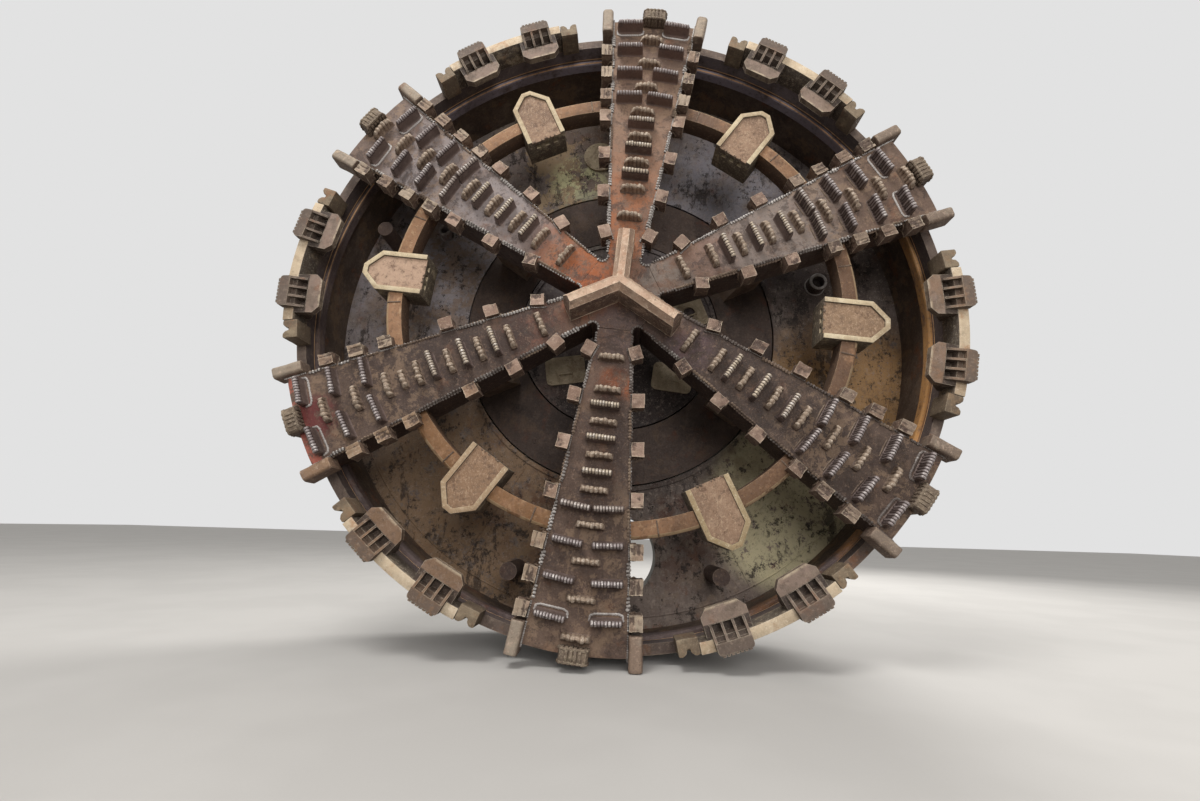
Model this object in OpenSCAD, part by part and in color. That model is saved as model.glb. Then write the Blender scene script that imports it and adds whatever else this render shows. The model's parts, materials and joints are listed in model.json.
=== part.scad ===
// Spoke cutterhead of a tunnel boring machine, with the front shield section that carries it.
// Units are millimetres. The machine axis is Y and the face that cuts looks towards -Y.
// The origin is the centre of the rear joint face, where the section bolts to the next shield ring.
// Depths are counted back from the front faces of the spokes. Heights above them are counted forward.

/* [Overall size] */
// outer diameter of the rim of the cutterhead
cutter_d = 6146; // [5900:2:6400]
// distance from the spoke faces back to the rear joint face
rear_depth = 1650; // [1600:10:1900]
// turn of the cutterhead at rest, seen from the front, in degrees
rest_turn = -5.7; // [-30:0.1:30]
// gap left where two separate pieces are seated on each other
fit = 0.3; // [0.2:0.1:0.5]

/* [Spokes] */
// radius at which the edges of neighbouring spokes meet
hub_r = 345; // [330:1:380]
// half width of a spoke carried down to the axis
spoke_half_root = 120; // [110:1:130]
// radius of the rounded bottom of the notches between the spoke roots
notch_r = 47; // [44:1:52]
// growth of the half width for each millimetre of radius
spoke_taper = 0.1; // [0.09:0.001:0.11]
// depth of a spoke from its face to its back
spoke_depth = 450; // [430:5:480]
// thickness of the face plate that overhangs the spoke walls
face_plate_t = 60; // [40:1:80]
// overhang of the face plate over each spoke wall
face_overhang = 18; // [5:1:25]
// radius at which the spoke faces end
spoke_end_r = 3045; // [3020:1:3060]
// how far inside the end of the face plate the spoke walls end
wall_step = 20; // [10:1:30]

/* [Rim] */
// radial thickness of the rim ring
rim_t = 88; // [70:1:100]
// depth of the front edge of the rim ring
rim_front = 237; // [200:1:260]
// depth of the rear edge of the rim ring
rim_rear = 385; // [350:1:392]
// how far inside the rim ring the forward bands reach
band_lap = 4; // [2:1:10]
// half angle of the forward rim band in each sector
band_half_deg = 11.4; // [11:0.1:11.6]
// angle from a sector centre to the far side of its end block
wedge_end_deg = 14.8; // [14:0.1:15.4]
// depth of the V notch in the outer edge of an end block
wedge_notch = 52; // [30:1:70]
// height of an end block in the radial direction
wedge_h = 132; // [110:1:170]
// how far inside the outside of the rim an end block stays
wedge_step = 6; // [2:1:20]
// gap between a band and its end block
wedge_gap = 2; // [1:0.5:4]

/* [Pocketed gauge blocks] */
// angle from a sector centre to each of its two gauge blocks
gauge_deg = 6.5; // [6:0.1:7]
// width of the head of a gauge block
gauge_w = 290; // [240:1:320]
// radius of the outer edge of the head
gauge_top_r = 3096; // [3085:1:3120]
// height of the head in front of the band
gauge_fwd = 68; // [50:1:90]
// thickness of the wall on the outer side of the pockets
gauge_wall = 90; // [70:1:110]
// thickness of the webs between the pockets
gauge_web = 22; // [16:1:32]
// number of pockets in the head
gauge_pockets = 3; // [2:1:4]
// how far the pockets reach inside the rim ring
gauge_in = 108; // [90:1:125]
// how far the ledge reaches inside the pockets
ledge_in = 130; // [110:1:150]
// width of the ledge
ledge_w = 376; // [350:1:400]
// chamfer at the corners of the ledge
ledge_chamfer = 58; // [40:1:70]
// depth of the front of the ledge
ledge_front = 3; // [0:1:20]
// thickness of the ledge
ledge_t = 62; // [50:1:80]
// width of each of the two legs under the ledge
gauge_leg_w = 84; // [60:1:100]

/* [Mid ring and boxes] */
// outer radius of the mid ring
mid_r = 2160; // [2130:1:2190]
// radial width of the mid ring
mid_w = 150; // [120:1:170]
// depth of the front of the mid ring
mid_front = 62; // [50:1:100]
// thickness of the mid ring from front to back
mid_t = 190; // [150:5:260]
// chamfer on the front outer edge of the mid ring
mid_chamfer = 26; // [10:1:40]
// half width of a five-sided box
box_half = 197; // [180:1:210]
// radius of the flat inner end of a box
box_in_r = 1832; // [1800:1:1860]
// radius of the shoulders of a box
box_shoulder_r = 2262; // [2240:1:2290]
// radius of the cut-off point of a box
box_tip_r = 2412; // [2390:1:2440]
// half width of the cut-off point
box_tip_half = 46; // [30:1:60]
// depth of the front of the box frames
box_front = 33; // [20:1:45]
// depth of a box from front to back
box_depth = 300; // [250:5:340]
// width of the raised frame
box_frame = 46; // [36:1:56]
// how far the face plate of a box is set back
box_inset = 20; // [12:1:28]
// thickness of the face plate of a box
box_plate_t = 8; // [6:1:12]
// width of the square holes in the inner end of a box
box_hole = 48; // [30:1:60]
// distance between those holes
box_hole_pitch = 92; // [70:1:110]

/* [Teeth] */
// distance between rows of teeth along a spoke
row_pitch = 142.7; // [140:0.1:145]
// radius of the first regular row on the three spokes with a centre blade
row_start_p = 1060; // [1050:1:1070]
// radius of the first regular row on the three spokes between them
row_start_q = 915; // [905:1:925]
// distance from the first regular row in to the innermost low tooth
first_gap = 292.5; // [285:0.5:300]
// width of a tall tooth
tall_w = 245; // [220:1:250]
// height of a tall tooth
tall_h = 132; // [110:1:150]
// width of a low tooth
low_w = 226; // [200:1:236]
// height of a low tooth
low_h = 98; // [85:1:110]
// radius of the upper corners of a low tooth
low_corner = 68; // [50:1:70]
// thickness of a tooth along the spoke
tooth_t = 50; // [40:1:58]
// number of hard ribs across a tall tooth
tall_ribs = 9; // [7:1:11]
// height of the hard ribs
rib_h = 9; // [5:1:14]
// side offset of the paired teeth at the first paired row
pair_offset = 150; // [146:1:156]
// width of the one small tooth that takes the place of a pair
small_w = 172; // [150:1:190]
// width of the large tooth on the end of each spoke
edge_tooth_w = 236; // [200:1:260]
// height of the large tooth in front of the spoke face
edge_tooth_h = 114; // [90:1:130]
// length of the large tooth along the spoke
edge_tooth_len = 112; // [90:1:120]
// how far the large tooth stands out past the end of the face plate
edge_tooth_out = 42; // [25:1:60]
// depth to which the foot of the large tooth covers the end of the spoke
edge_tooth_foot = 120; // [90:1:150]
// width of a side scraper block
scraper_w = 112; // [100:1:125]
// length of a side scraper block along the spoke edge
scraper_len = 128; // [110:1:140]
// how far a side scraper stands in front of the spoke face
scraper_fwd = 58; // [40:1:75]
// how far a side scraper reaches back along the spoke wall
scraper_back = 110; // [80:1:140]
// distance between side scrapers on the inner part of a spoke
scraper_pitch_in = 415; // [400:1:430]
// distance between side scrapers on the outer part of a spoke
scraper_pitch_out = 264; // [255:1:275]
// turn of the innermost side scraper towards the axis, in degrees
scraper_skew = 16; // [0:1:24]
// thickness of the hard tip on a side scraper
scraper_tip_t = 12; // [8:1:16]
// length of the long scrapers beside the end of a spoke
end_scraper_len = 262; // [220:1:300]
// how far the long scrapers stand in front of the spoke face
end_scraper_fwd = 70; // [50:1:90]
// how far the long scrapers stand out past the end of the face plate
end_scraper_out = 60; // [40:1:75]

/* [Centre blades] */
// length of the two shorter centre blades from the axis
blade_len = 508; // [490:1:530]
// length of the long centre blade from the axis
long_blade_len = 612; // [580:1:640]
// height of the blade ridge over the spoke face
blade_h = 305; // [260:1:330]
// width of a blade
blade_w = 144; // [130:1:160]
// width of the flat on top of the ridge
blade_top = 58; // [40:1:70]
// height of the bevels beside the ridge
blade_bevel = 62; // [40:1:80]
// length of the sloping outer end of the ridge
blade_slope = 26; // [15:1:60]

/* [Drive] */
// inner radius of the rotating drive ring
ring_in_r = 1075; // [1060:1:1090]
// outer radius of the rotating drive ring
ring_out_r = 1640; // [1625:1:1655]
// gap between moving and fixed rings
run_gap = 15; // [10:1:20]
// depth of the front face of the bulkhead
bulkhead_depth = 1000; // [960:1:1040]
// thickness of the rotating drive ring behind the bulkhead face
ring_t = 95; // [80:1:120]
// width of the legs that carry the spokes on the drive ring
leg_w = 250; // [200:5:280]
// distance from the inner edge of the drive ring to the foot of a leg
leg_inset = 110; // [80:5:160]
// length of a leg where it meets the spoke
leg_head = 330; // [260:5:400]
// how far the legs lean outwards past the drive ring
leg_lean = 90; // [60:5:120]
// radius of the centre pipe
pipe_r = 215; // [190:1:230]
// how far the centre pipe reaches behind the bulkhead face
pipe_reach = 190; // [160:5:240]
// wall of the centre pipe
pipe_wall = 40; // [25:1:50]

/* [Shield section] */
// outer radius of the shield skin
skin_r = 3060; // [3050:1:3065]
// thickness of the shield skin
skin_t = 60; // [45:1:70]
// depth of the front edge of the shield skin
skin_front = 400; // [400:1:420]
// radial width of the wear ring at the front of the skin
wear_w = 107; // [90:1:120]
// length of the wear ring along the machine
wear_len = 110; // [80:1:140]
// thickness of the bulkhead plate
bulkhead_t = 50; // [40:1:70]
// wall of the bearing housing
housing_t = 65; // [50:1:80]
// thickness of the thrust land inside the bearing housing
land_t = 60; // [40:1:90]
// distance from the bulkhead face back to the rear of the bearing housing
housing_len = 400; // [360:10:440]
// number of blanked ports for drive units in the rear of the bearing housing
drive_ports = 8; // [6:1:10]
// radius of the covers on those ports
drive_cover_r = 190; // [150:1:220]
// thickness of those covers
drive_cover_t = 30; // [20:1:40]
// radius at which the spoil port stands below the axis
spoil_port_at = 2330; // [2300:1:2360]
// inner radius of the spoil port
spoil_port_r = 400; // [360:1:420]
// wall of the spoil port sleeve
spoil_port_wall = 30; // [20:1:40]
// length of the spoil port sleeve behind the bulkhead
spoil_port_len = 300; // [240:10:360]
// radius at which the mixing bars stand
mixing_bar_at = 2635; // [2600:1:2660]
// radius of the mixing bars
mixing_bar_r = 78; // [60:1:90]
// number of bolts in the rear joint
joint_bolts = 60; // [48:6:72]
// radius of the rear joint bolt holes
joint_hole_r = 17; // [13:1:20]
// distance of those holes inside the outside of the skin
joint_hole_in = 122; // [110:1:135]
// radial width of the rear joint flange
joint_w = 190; // [170:1:210]
// thickness of the rear joint flange
joint_t = 60; // [50:1:80]
// number of stiffening webs behind the bulkhead
web_count = 12; // [8:2:16]
// thickness of those webs
web_t = 30; // [20:1:40]

/* [Hidden] */
$fn = 240;
// Columns of SPOKES: angle, 1 for a centre blade, 2 for the long one or 0 for none, radius of the first inner
// side scraper, number of inner ones, radius of the first outer one, number of outer ones, row with one small
// tooth or -1.
ANG = 0;
BLADE = 1;
IN_AT = 2;
IN_N = 3;
OUT_AT = 4;
OUT_N = 5;
SMALL_ROW = 6;
SPOKES = [
  [90, 1, 588, 4, 2085, 3, -1],
  [30, 0, 722, 4, 2218, 3, -1],
  [330, 2, 870, 4, 2382, 2, -1],
  [270, 0, 575, 4, 2225, 3, -1],
  [210, 1, 720, 3, 2107, 3, 7],
  [150, 0, 860, 3, 1966, 4, -1]];
// Row kinds along a spoke: 0 a low tooth, 1 a tall tooth, 2 a pair of tall teeth.
ROWS_P = [0, 1, 0, 1, 0, 1, 0, 2, 0, 2, 0, 2, 0, 2];
ROWS_Q = [0, 1, 0, 1, 0, 1, 0, 2, 0, 2, 0, 2, 0, 2, 0];
// Columns of HATCHES: centre across and up, width, height, turn, radius of a hole in it or 0.
HATCHES = [[-560, -440, 420, 300, 8, 0], [570, -500, 420, 300, -8, 0], [760, 240, 340, 360, 20, 62]];
// Round cover: centre across and up, radius.
ROUND_COVER = [-265, 2192, 185];
// Columns of PORTS: centre across and up, outer radius, inner radius.
PORTS = [[2133, 577, 96, 62], [-1980, 1150, 70, 42], [2050, -900, 70, 42], [-2250, -420, 70, 42]];
MIXING_BAR_ANGLES = [159.5, 20.5, 249, 291];
cutter_r = cutter_d / 2;
rim_in_r = cutter_r - rim_t;
pocket_end_r = rim_in_r - gauge_in;
ledge_r = pocket_end_r - ledge_in;
edge_tooth_r = spoke_end_r + edge_tooth_out - edge_tooth_len;
skin_in_r = skin_r - skin_t;
wear_in_r = skin_r - wear_w;
taper_deg = atan(spoke_taper);
pair_from_r = row_start_p + 7 * row_pitch;
leg_in_r = ring_in_r + leg_inset;
leg_out_r = ring_out_r + leg_lean;
ring_rear = bulkhead_depth + ring_t;
ring_front = bulkhead_depth - run_gap;
bulkhead_rear = bulkhead_depth + bulkhead_t;
housing_rear = bulkhead_depth + housing_len;
housing_out_r = ring_out_r + run_gap + housing_t;
joint_hole_at = skin_r - joint_hole_in;
sector_turn = [for (k = [0:5]) 60 * k];
// How far a gauge block reaches over the rim ring at its seat.
gauge_lap = 20;
// Radius at the outer corners of a gauge block, and the height of the inner end of a web.
gauge_round = 28;
web_low = 12;
// Pocket floor: its thickness behind the ledge and before the band, and where it rises inside the rim ring.
floor_t = 12;
floor_fwd = 16;
floor_in = 36;
// Legs of a gauge block: inset from the ends of the ledge, gap to the rim ring, and length of the foot.
leg_in = 12;
leg_gap = 20;
leg_foot = 50;
// Lumps on the outer edge of a gauge block: number, width, height and inset from the front.
gauge_lumps = 7;
lump_w = 26;
lump_out = 15;
lump_low = 2;
// Amount by which a cutting solid runs past what it cuts.
past = 5;
// Radius well outside the part, to which shapes run that are cut back to a circle.
far_r = 2 * cutter_r;

// Puts a shape drawn with the axis on Z and depth 0 at z = 0 into the frame of the part.
module place() {
  translate([0, -rear_depth, 0])
    rotate([90, 0, 0])
      children();
}

// Puts a shape on a spoke or sector whose radius runs along X.
module at_angle(a) {
  rotate([0, 0, a + rest_turn])
    children();
}

// A ring about the axis between two depths.
module ring(r_in, r_out, front, rear) {
  translate([0, 0, -rear])
    difference() {
      cylinder(r = r_out, h = rear - front);
      translate([0, 0, -past])
        cylinder(r = r_in, h = rear - front + 2 * past);
    }
}

// A flat shape made solid between two depths.
module slab(front, rear) {
  translate([0, 0, -rear])
    linear_extrude(rear - front)
      children();
}

// A profile drawn across a spoke, X sideways and Y forwards, run along the radius from r0 to r1.
module run_along(r0, r1) {
  translate([r0, 0, 0])
    rotate([90, 0, 90])
      linear_extrude(r1 - r0)
        children();
}

function half_w(r) = spoke_half_root + spoke_taper * r;

function arc(cx, cy, r, a0, a1, n) =
  [for (i = [0:n]) [cx + r * cos(a0 + (a1 - a0) * i / n), cy + r * sin(a0 + (a1 - a0) * i / n)]];

// Outline of a spoke seen from the front, narrower by the amount given.
module spoke_outline(less = 0) {
  polygon([[hub_r, -half_w(hub_r) + less], [far_r, -half_w(far_r) + less],
    [far_r, half_w(far_r) - less], [hub_r, half_w(hub_r) - less]]);
}

// Part of a spoke between two depths, cut off at a radius.
module spoke_part(less, end_r, front, rear) {
  slab(front, rear)
    intersection() {
      spoke_outline(less);
      circle(r = end_r);
    }
}

// Box girder with an overhanging face plate, stepped back over the rim ring and inside the wear ring.
module spoke_body(a) {
  wall_r = spoke_end_r - wall_step;
  ring_r = min(wall_r, rim_in_r - fit);
  at_angle(a) {
    spoke_part(0, spoke_end_r, 0, face_plate_t);
    spoke_part(face_overhang, wall_r, face_plate_t, rim_front - fit);
    spoke_part(face_overhang, ring_r, face_plate_t, rim_rear);
    spoke_part(face_overhang, min(ring_r, wear_in_r - run_gap), face_plate_t, spoke_depth);
  }
}

module spoke_1() {
  color([0.43, 0.33, 0.27])
    place()
      spoke_body(SPOKES[0][ANG]);
}

module spoke_2() {
  color([0.43, 0.33, 0.27])
    place()
      spoke_body(SPOKES[1][ANG]);
}

module spoke_3() {
  color([0.43, 0.33, 0.27])
    place()
      spoke_body(SPOKES[2][ANG]);
}

module spoke_4() {
  color([0.43, 0.33, 0.27])
    place()
      spoke_body(SPOKES[3][ANG]);
}

module spoke_5() {
  color([0.43, 0.33, 0.27])
    place()
      spoke_body(SPOKES[4][ANG]);
}

module spoke_6() {
  color([0.43, 0.33, 0.27])
    place()
      spoke_body(SPOKES[5][ANG]);
}

// Centre plate that closes the space between the spoke roots, with a rounded notch between each two of them.
module hub_plate() {
  in_r = hub_r - fit;
  notch_at = (notch_r / cos(taper_deg) + spoke_half_root) / (sin(30) - spoke_taper * cos(30));
  color([0.55, 0.32, 0.19])
    place()
      at_angle(30)
        difference() {
          slab(0, spoke_depth)
            polygon([for (a = sector_turn) for (s = [-1, 1])
              [in_r * cos(a) - s * half_w(in_r) * sin(a), in_r * sin(a) + s * half_w(in_r) * cos(a)]]);
          for (a = sector_turn)
            rotate([0, 0, a + 30])
              translate([notch_at, 0, -spoke_depth - past])
                cylinder(r = notch_r, h = spoke_depth + 2 * past);
        }
}

module rim_ring() {
  color([0.62, 0.55, 0.46])
    place()
      ring(rim_in_r, cutter_r, rim_front, rim_rear);
}

module rim_bands() {
  color([0.80, 0.76, 0.67])
    place()
      for (a = sector_turn)
        at_angle(a - band_half_deg)
          translate([0, 0, -rim_front])
            rotate_extrude(angle = 2 * band_half_deg)
              translate([rim_in_r - band_lap, fit])
                square([rim_t + band_lap, rim_front - fit]);
}

// Notched block that ends a forward band, at the side given by the sign.
module rim_end_block(side) {
  w = 2 * rim_in_r * sin((wedge_end_deg - band_half_deg) / 2) - 2 * wedge_gap;
  top = cutter_r - wedge_step;
  lip = w * 0.24;
  rotate([0, 0, side * (wedge_end_deg + band_half_deg) / 2])
    slab(0, rim_front - fit)
      polygon([[top - wedge_h, -w / 2], [top - wedge_h, w / 2], [top - 8, w / 2], [top, w / 2 - 12],
        [top, w / 2 - lip], [top - wedge_notch * 0.45, w * 0.1], [top - wedge_notch, w * 0.06],
        [top - wedge_notch, -w * 0.06], [top - wedge_notch * 0.45, -w * 0.1],
        [top, -w / 2 + lip], [top, -w / 2 + 12], [top - 8, -w / 2]]);
}

module rim_end_blocks() {
  color([0.58, 0.50, 0.41])
    place()
      for (a = sector_turn)
        at_angle(a) {
          rim_end_block(1);
          rim_end_block(-1);
        }
}

// Profile across the tangent, X outwards and Y forwards, made solid over a width.
module across(w) {
  rotate([90, 0, 0])
    translate([0, 0, -w / 2])
      linear_extrude(w)
        children();
}

// Gauge block: pockets between webs behind an outer wall, a flat ledge inside them and two legs under it.
module gauge_block() {
  half = gauge_w / 2;
  ledge_half = ledge_w / 2;
  ledge_rear = ledge_front + ledge_t;
  corner_r = ledge_r + ledge_chamfer;
  seat_r = rim_in_r + gauge_lap;
  wall_r = gauge_top_r - gauge_wall;
  round_at = gauge_top_r - gauge_round;
  web_r = pocket_end_r - past;
  web_pitch = (gauge_w - gauge_web) / gauge_pockets;
  leg_at = ledge_half - gauge_leg_w / 2 - leg_in;
  lump_pitch = (gauge_w - 2 * gauge_round - lump_w) / (gauge_lumps - 1);
  difference() {
    union() {
      slab(ledge_front, ledge_rear)
        difference() {
          polygon([[ledge_r, -ledge_half + ledge_chamfer], [corner_r, -ledge_half], [seat_r, -ledge_half],
            [seat_r, ledge_half], [corner_r, ledge_half], [ledge_r, ledge_half - ledge_chamfer]]);
          translate([pocket_end_r, -half])
            square([seat_r, gauge_w]);
        }
      slab(-gauge_fwd, ledge_rear)
        polygon(concat([[wall_r, -half]], arc(round_at, gauge_round - half, gauge_round, -90, 0, 4),
          arc(round_at, half - gauge_round, gauge_round, 0, 90, 4), [[wall_r, half]]));
      for (i = [0:gauge_pockets])
        translate([0, i * web_pitch - half + gauge_web / 2, 0])
          across(gauge_web)
            polygon([[web_r, -ledge_rear], [web_r, -ledge_front], [pocket_end_r, web_low],
              [wall_r, gauge_fwd - web_low / 2], [wall_r + past, gauge_fwd - web_low / 2],
              [wall_r + past, -ledge_rear]]);
      across(gauge_w)
        polygon([[web_r, -ledge_rear], [web_r, floor_t - ledge_rear],
          [rim_in_r - floor_in, floor_t - ledge_rear], [rim_in_r - gauge_lap, floor_fwd],
          [wall_r + past, floor_fwd], [wall_r + past, -ledge_rear]]);
      for (side = [-1, 1])
        translate([0, side * leg_at, 0])
          across(gauge_leg_w)
            polygon([[corner_r, 1 - ledge_rear], [seat_r, 1 - ledge_rear], [seat_r, leg_gap - rim_front],
              [rim_in_r - leg_foot, leg_gap - rim_front]]);
    }
    ring(rim_in_r - band_lap - fit, far_r, -fit, rim_front);
  }
  for (i = [0:gauge_lumps - 1])
    translate([gauge_top_r - 1, i * lump_pitch + gauge_round - half, lump_low])
      cube([lump_out, lump_w, gauge_fwd - 2 * lump_low]);
}

module gauge_blocks_a() {
  color([0.56, 0.46, 0.38])
    place()
      for (a = sector_turn)
        at_angle(a + gauge_deg)
          gauge_block();
}

module gauge_blocks_b() {
  color([0.56, 0.46, 0.38])
    place()
      for (a = sector_turn)
        at_angle(a - gauge_deg)
          gauge_block();
}

// Outline of a sector box, pointed outwards with the tip cut off.
module box_outline(less = 0, open = 0) {
  polygon([[box_in_r - open, -box_half + less], [box_shoulder_r - less * 0.4, -box_half + less],
    [box_tip_r - less, -box_tip_half + less * 0.35], [box_tip_r - less, box_tip_half - less * 0.35],
    [box_shoulder_r - less * 0.4, box_half - less], [box_in_r - open, box_half - less]]);
}

module sector_boxes() {
  color([0.78, 0.71, 0.58])
    place()
      for (a = sector_turn)
        at_angle(a)
          difference() {
            slab(box_front, box_front + box_depth)
              box_outline();
            slab(box_front - past, box_front + box_inset + box_plate_t)
              box_outline(box_frame, past);
            for (t = [-1:1])
              translate([box_in_r - 1, t * box_hole_pitch - box_hole / 2, -box_front - 110])
                cube([61, box_hole, box_hole - 4]);
          }
}

module sector_box_plates() {
  color([0.58, 0.47, 0.37])
    place()
      for (a = sector_turn)
        at_angle(a)
          slab(box_front + box_inset, box_front + box_inset + box_plate_t)
            box_outline(box_frame, 0);
}

module mid_ring() {
  in_r = mid_r - mid_w;
  color([0.56, 0.42, 0.32])
    place()
      difference() {
        translate([0, 0, -mid_front - mid_t])
          rotate_extrude()
            polygon([[in_r, 0], [mid_r, 0], [mid_r, mid_t - mid_chamfer],
              [mid_r - mid_chamfer, mid_t], [in_r, mid_t]]);
        for (s = SPOKES)
          at_angle(s[ANG])
            slab(0, spoke_depth)
              spoke_outline(face_overhang);
        for (a = sector_turn)
          at_angle(a)
            slab(0, box_front + box_depth)
              box_outline();
      }
}

// One of the three centre blades, with a bevelled ridge.
module centre_blade(len) {
  intersection() {
    run_along(0, len)
      polygon([[-blade_w / 2, 0], [blade_w / 2, 0], [blade_w / 2, blade_h - blade_bevel],
        [blade_top / 2, blade_h], [-blade_top / 2, blade_h], [-blade_w / 2, blade_h - blade_bevel]]);
    rotate([90, 0, 0])
      translate([0, 0, -blade_w])
        linear_extrude(2 * blade_w)
          polygon([[-10, -10], [len, -10], [len - 8, blade_h - blade_bevel],
            [len - blade_slope - 8, blade_h], [-10, blade_h]]);
  }
}

module centre_blades() {
  color([0.66, 0.54, 0.43])
    place()
      for (s = SPOKES)
        if (s[BLADE] > 0)
          at_angle(s[ANG])
            centre_blade(s[BLADE] == 2 ? long_blade_len : blade_len);
}

// Tall tooth with a bevelled top cut into hard ribs.
module tall_tooth() {
  rib = tall_w / tall_ribs;
  t = tooth_t / 2;
  intersection() {
    run_along(-t, t)
      polygon(concat([[-tall_w / 2, 0], [tall_w / 2, 0]],
        [for (i = [tall_ribs - 1:-1:0]) for (p = [[0.5, 0], [0.32, 1], [-0.32, 1], [-0.5, 0]])
          [(i - (tall_ribs - 1) / 2 + p[0]) * rib, tall_h - rib_h + rib_h * p[1]]]));
    rotate([90, 0, 0])
      translate([0, 0, -tall_w])
        linear_extrude(2 * tall_w)
          polygon([[-t, -1], [t, -1], [t, tall_h - 34], [t - 22, tall_h], [-t + 8, tall_h], [-t, tall_h - 10]]);
  }
}

// Low tooth with an arched top.
module low_tooth(w = low_w, h = low_h) {
  corner = min(low_corner, h - 8);
  run_along(-tooth_t / 2, tooth_t / 2)
    polygon(concat([[-w / 2, 0], [w / 2, 0]], arc(w / 2 - corner, h - corner, corner, 0, 90, 6),
      arc(-w / 2 + corner, h - corner, corner, 90, 180, 6)));
}

function pair_y(r) = pair_offset + spoke_taper * (r - pair_from_r);

// Teeth of one height on every spoke of one type, as far out as the spoke face has room for them.
module teeth(blade, tall) {
  rows = blade ? ROWS_P : ROWS_Q;
  start = blade ? row_start_p : row_start_q;
  for (s = SPOKES)
    if ((s[BLADE] > 0) == blade)
      at_angle(s[ANG]) {
        if (!tall)
          translate([start - first_gap, 0, 0])
            low_tooth();
        for (i = [0:len(rows) - 1])
          if (start + row_pitch * i + tooth_t < spoke_end_r - wall_step)
            translate([start + row_pitch * i, 0, 0]) {
              if (!tall && rows[i] == 0)
                low_tooth();
              if (!tall && i == s[SMALL_ROW])
                low_tooth(small_w, low_h * 0.8);
              if (tall && rows[i] == 1)
                tall_tooth();
              if (tall && rows[i] == 2 && i != s[SMALL_ROW])
                for (m = [-1, 1])
                  translate([0, m * pair_y(start + row_pitch * i), 0])
                    rotate([0, 0, m * taper_deg])
                      tall_tooth();
            }
      }
}

module tall_teeth_p() {
  color([0.37, 0.33, 0.35])
    place()
      teeth(true, true);
}

module tall_teeth_q() {
  color([0.37, 0.33, 0.35])
    place()
      teeth(false, true);
}

module low_teeth_p() {
  color([0.58, 0.48, 0.37])
    place()
      teeth(true, false);
}

module low_teeth_q() {
  color([0.58, 0.48, 0.37])
    place()
      teeth(false, false);
}

// Large round-topped tooth that hooks over the end of each spoke and cuts the gauge.
module edge_teeth() {
  half = edge_tooth_w / 2;
  round_r = 44;
  color([0.60, 0.53, 0.45])
    place()
      for (s = SPOKES)
        at_angle(s[ANG])
          difference() {
            union() {
              run_along(edge_tooth_r, edge_tooth_r + edge_tooth_len)
                polygon(concat([[-half, 0], [half, 0]],
                  arc(half - round_r, edge_tooth_h - round_r, round_r, 0, 80, 4),
                  arc(-half + round_r, edge_tooth_h - round_r, round_r, 100, 180, 4)));
              slab(0, edge_tooth_foot)
                translate([edge_tooth_r, -half])
                  square([edge_tooth_len, edge_tooth_w]);
            }
            slab(0, face_plate_t + fit)
              circle(r = spoke_end_r + fit);
            slab(face_plate_t, edge_tooth_foot + past)
              circle(r = spoke_end_r - wall_step + fit);
          }
}

// Puts a side scraper on the sloping edge of a spoke, at the side given by the sign.
module scraper_at(r, side, skew) {
  lap = skew == 0 ? 0 : 26;
  translate([r, side * half_w(r), 0])
    rotate([0, 0, side * (taper_deg + skew)])
      translate([-scraper_len / 2, side > 0 ? -lap : lap - scraper_w, -scraper_back])
        children();
}

module scraper_block() {
  shoulder = 22;
  top = scraper_back + scraper_fwd - scraper_tip_t;
  rotate([90, 0, 90])
    linear_extrude(scraper_len)
      polygon([[0, 0], [scraper_w, 0], [scraper_w, top - 14],
        [scraper_w - shoulder, top], [shoulder, top], [0, top - 14]]);
}

module scraper_tip() {
  translate([12, 16, scraper_back + scraper_fwd - scraper_tip_t])
    cube([scraper_len - 24, scraper_w - 32, scraper_tip_t]);
}

// Side scrapers of every spoke of one type, inner ones far apart and outer ones closer.
module on_scrapers(blade) {
  for (s = SPOKES)
    if ((s[BLADE] > 0) == blade)
      at_angle(s[ANG])
        for (side = [-1, 1]) {
          for (i = [0:s[IN_N] - 1])
            scraper_at(s[IN_AT] + i * scraper_pitch_in, side, i == 0 ? scraper_skew : 0)
              children();
          for (i = [0:s[OUT_N] - 1])
            if (s[OUT_AT] + i * scraper_pitch_out < spoke_end_r - end_scraper_len)
              scraper_at(s[OUT_AT] + i * scraper_pitch_out, side, 0)
                children();
        }
}

module scrapers(blade) {
  difference() {
    on_scrapers(blade)
      scraper_block();
    for (s = SPOKES)
      if ((s[BLADE] > 0) == blade)
        at_angle(s[ANG]) {
          slab(0, face_plate_t)
            spoke_outline();
          slab(0, spoke_depth)
            spoke_outline(face_overhang);
        }
    ring(mid_r - mid_w - fit, mid_r + fit, mid_front - fit, mid_front + mid_t + fit);
  }
}

module scrapers_p() {
  color([0.66, 0.54, 0.46])
    place()
      scrapers(true);
}

module scrapers_q() {
  color([0.66, 0.54, 0.46])
    place()
      scrapers(false);
}

module scraper_tips_p() {
  color([0.50, 0.44, 0.40])
    place()
      on_scrapers(true)
        scraper_tip();
}

module scraper_tips_q() {
  color([0.50, 0.44, 0.40])
    place()
      on_scrapers(false)
        scraper_tip();
}

// Long scrapers on both edges of each spoke end, standing over the rim.
module gauge_scrapers() {
  outer = spoke_end_r + end_scraper_out;
  middle = outer - end_scraper_len + 85;
  color([0.64, 0.56, 0.49])
    place()
      for (s = SPOKES)
        at_angle(s[ANG])
          for (side = [-1, 1])
            translate([middle, side * half_w(middle), 0])
              rotate([0, 0, side * taper_deg])
                translate([0, side > 0 ? 0 : -scraper_w, 0])
                  run_along(-85, end_scraper_len - 85)
                    polygon([[0, -scraper_back], [scraper_w, -scraper_back], [scraper_w, end_scraper_fwd - 24],
                      [scraper_w - 20, end_scraper_fwd], [20, end_scraper_fwd], [0, end_scraper_fwd - 24]]);
}

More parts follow.
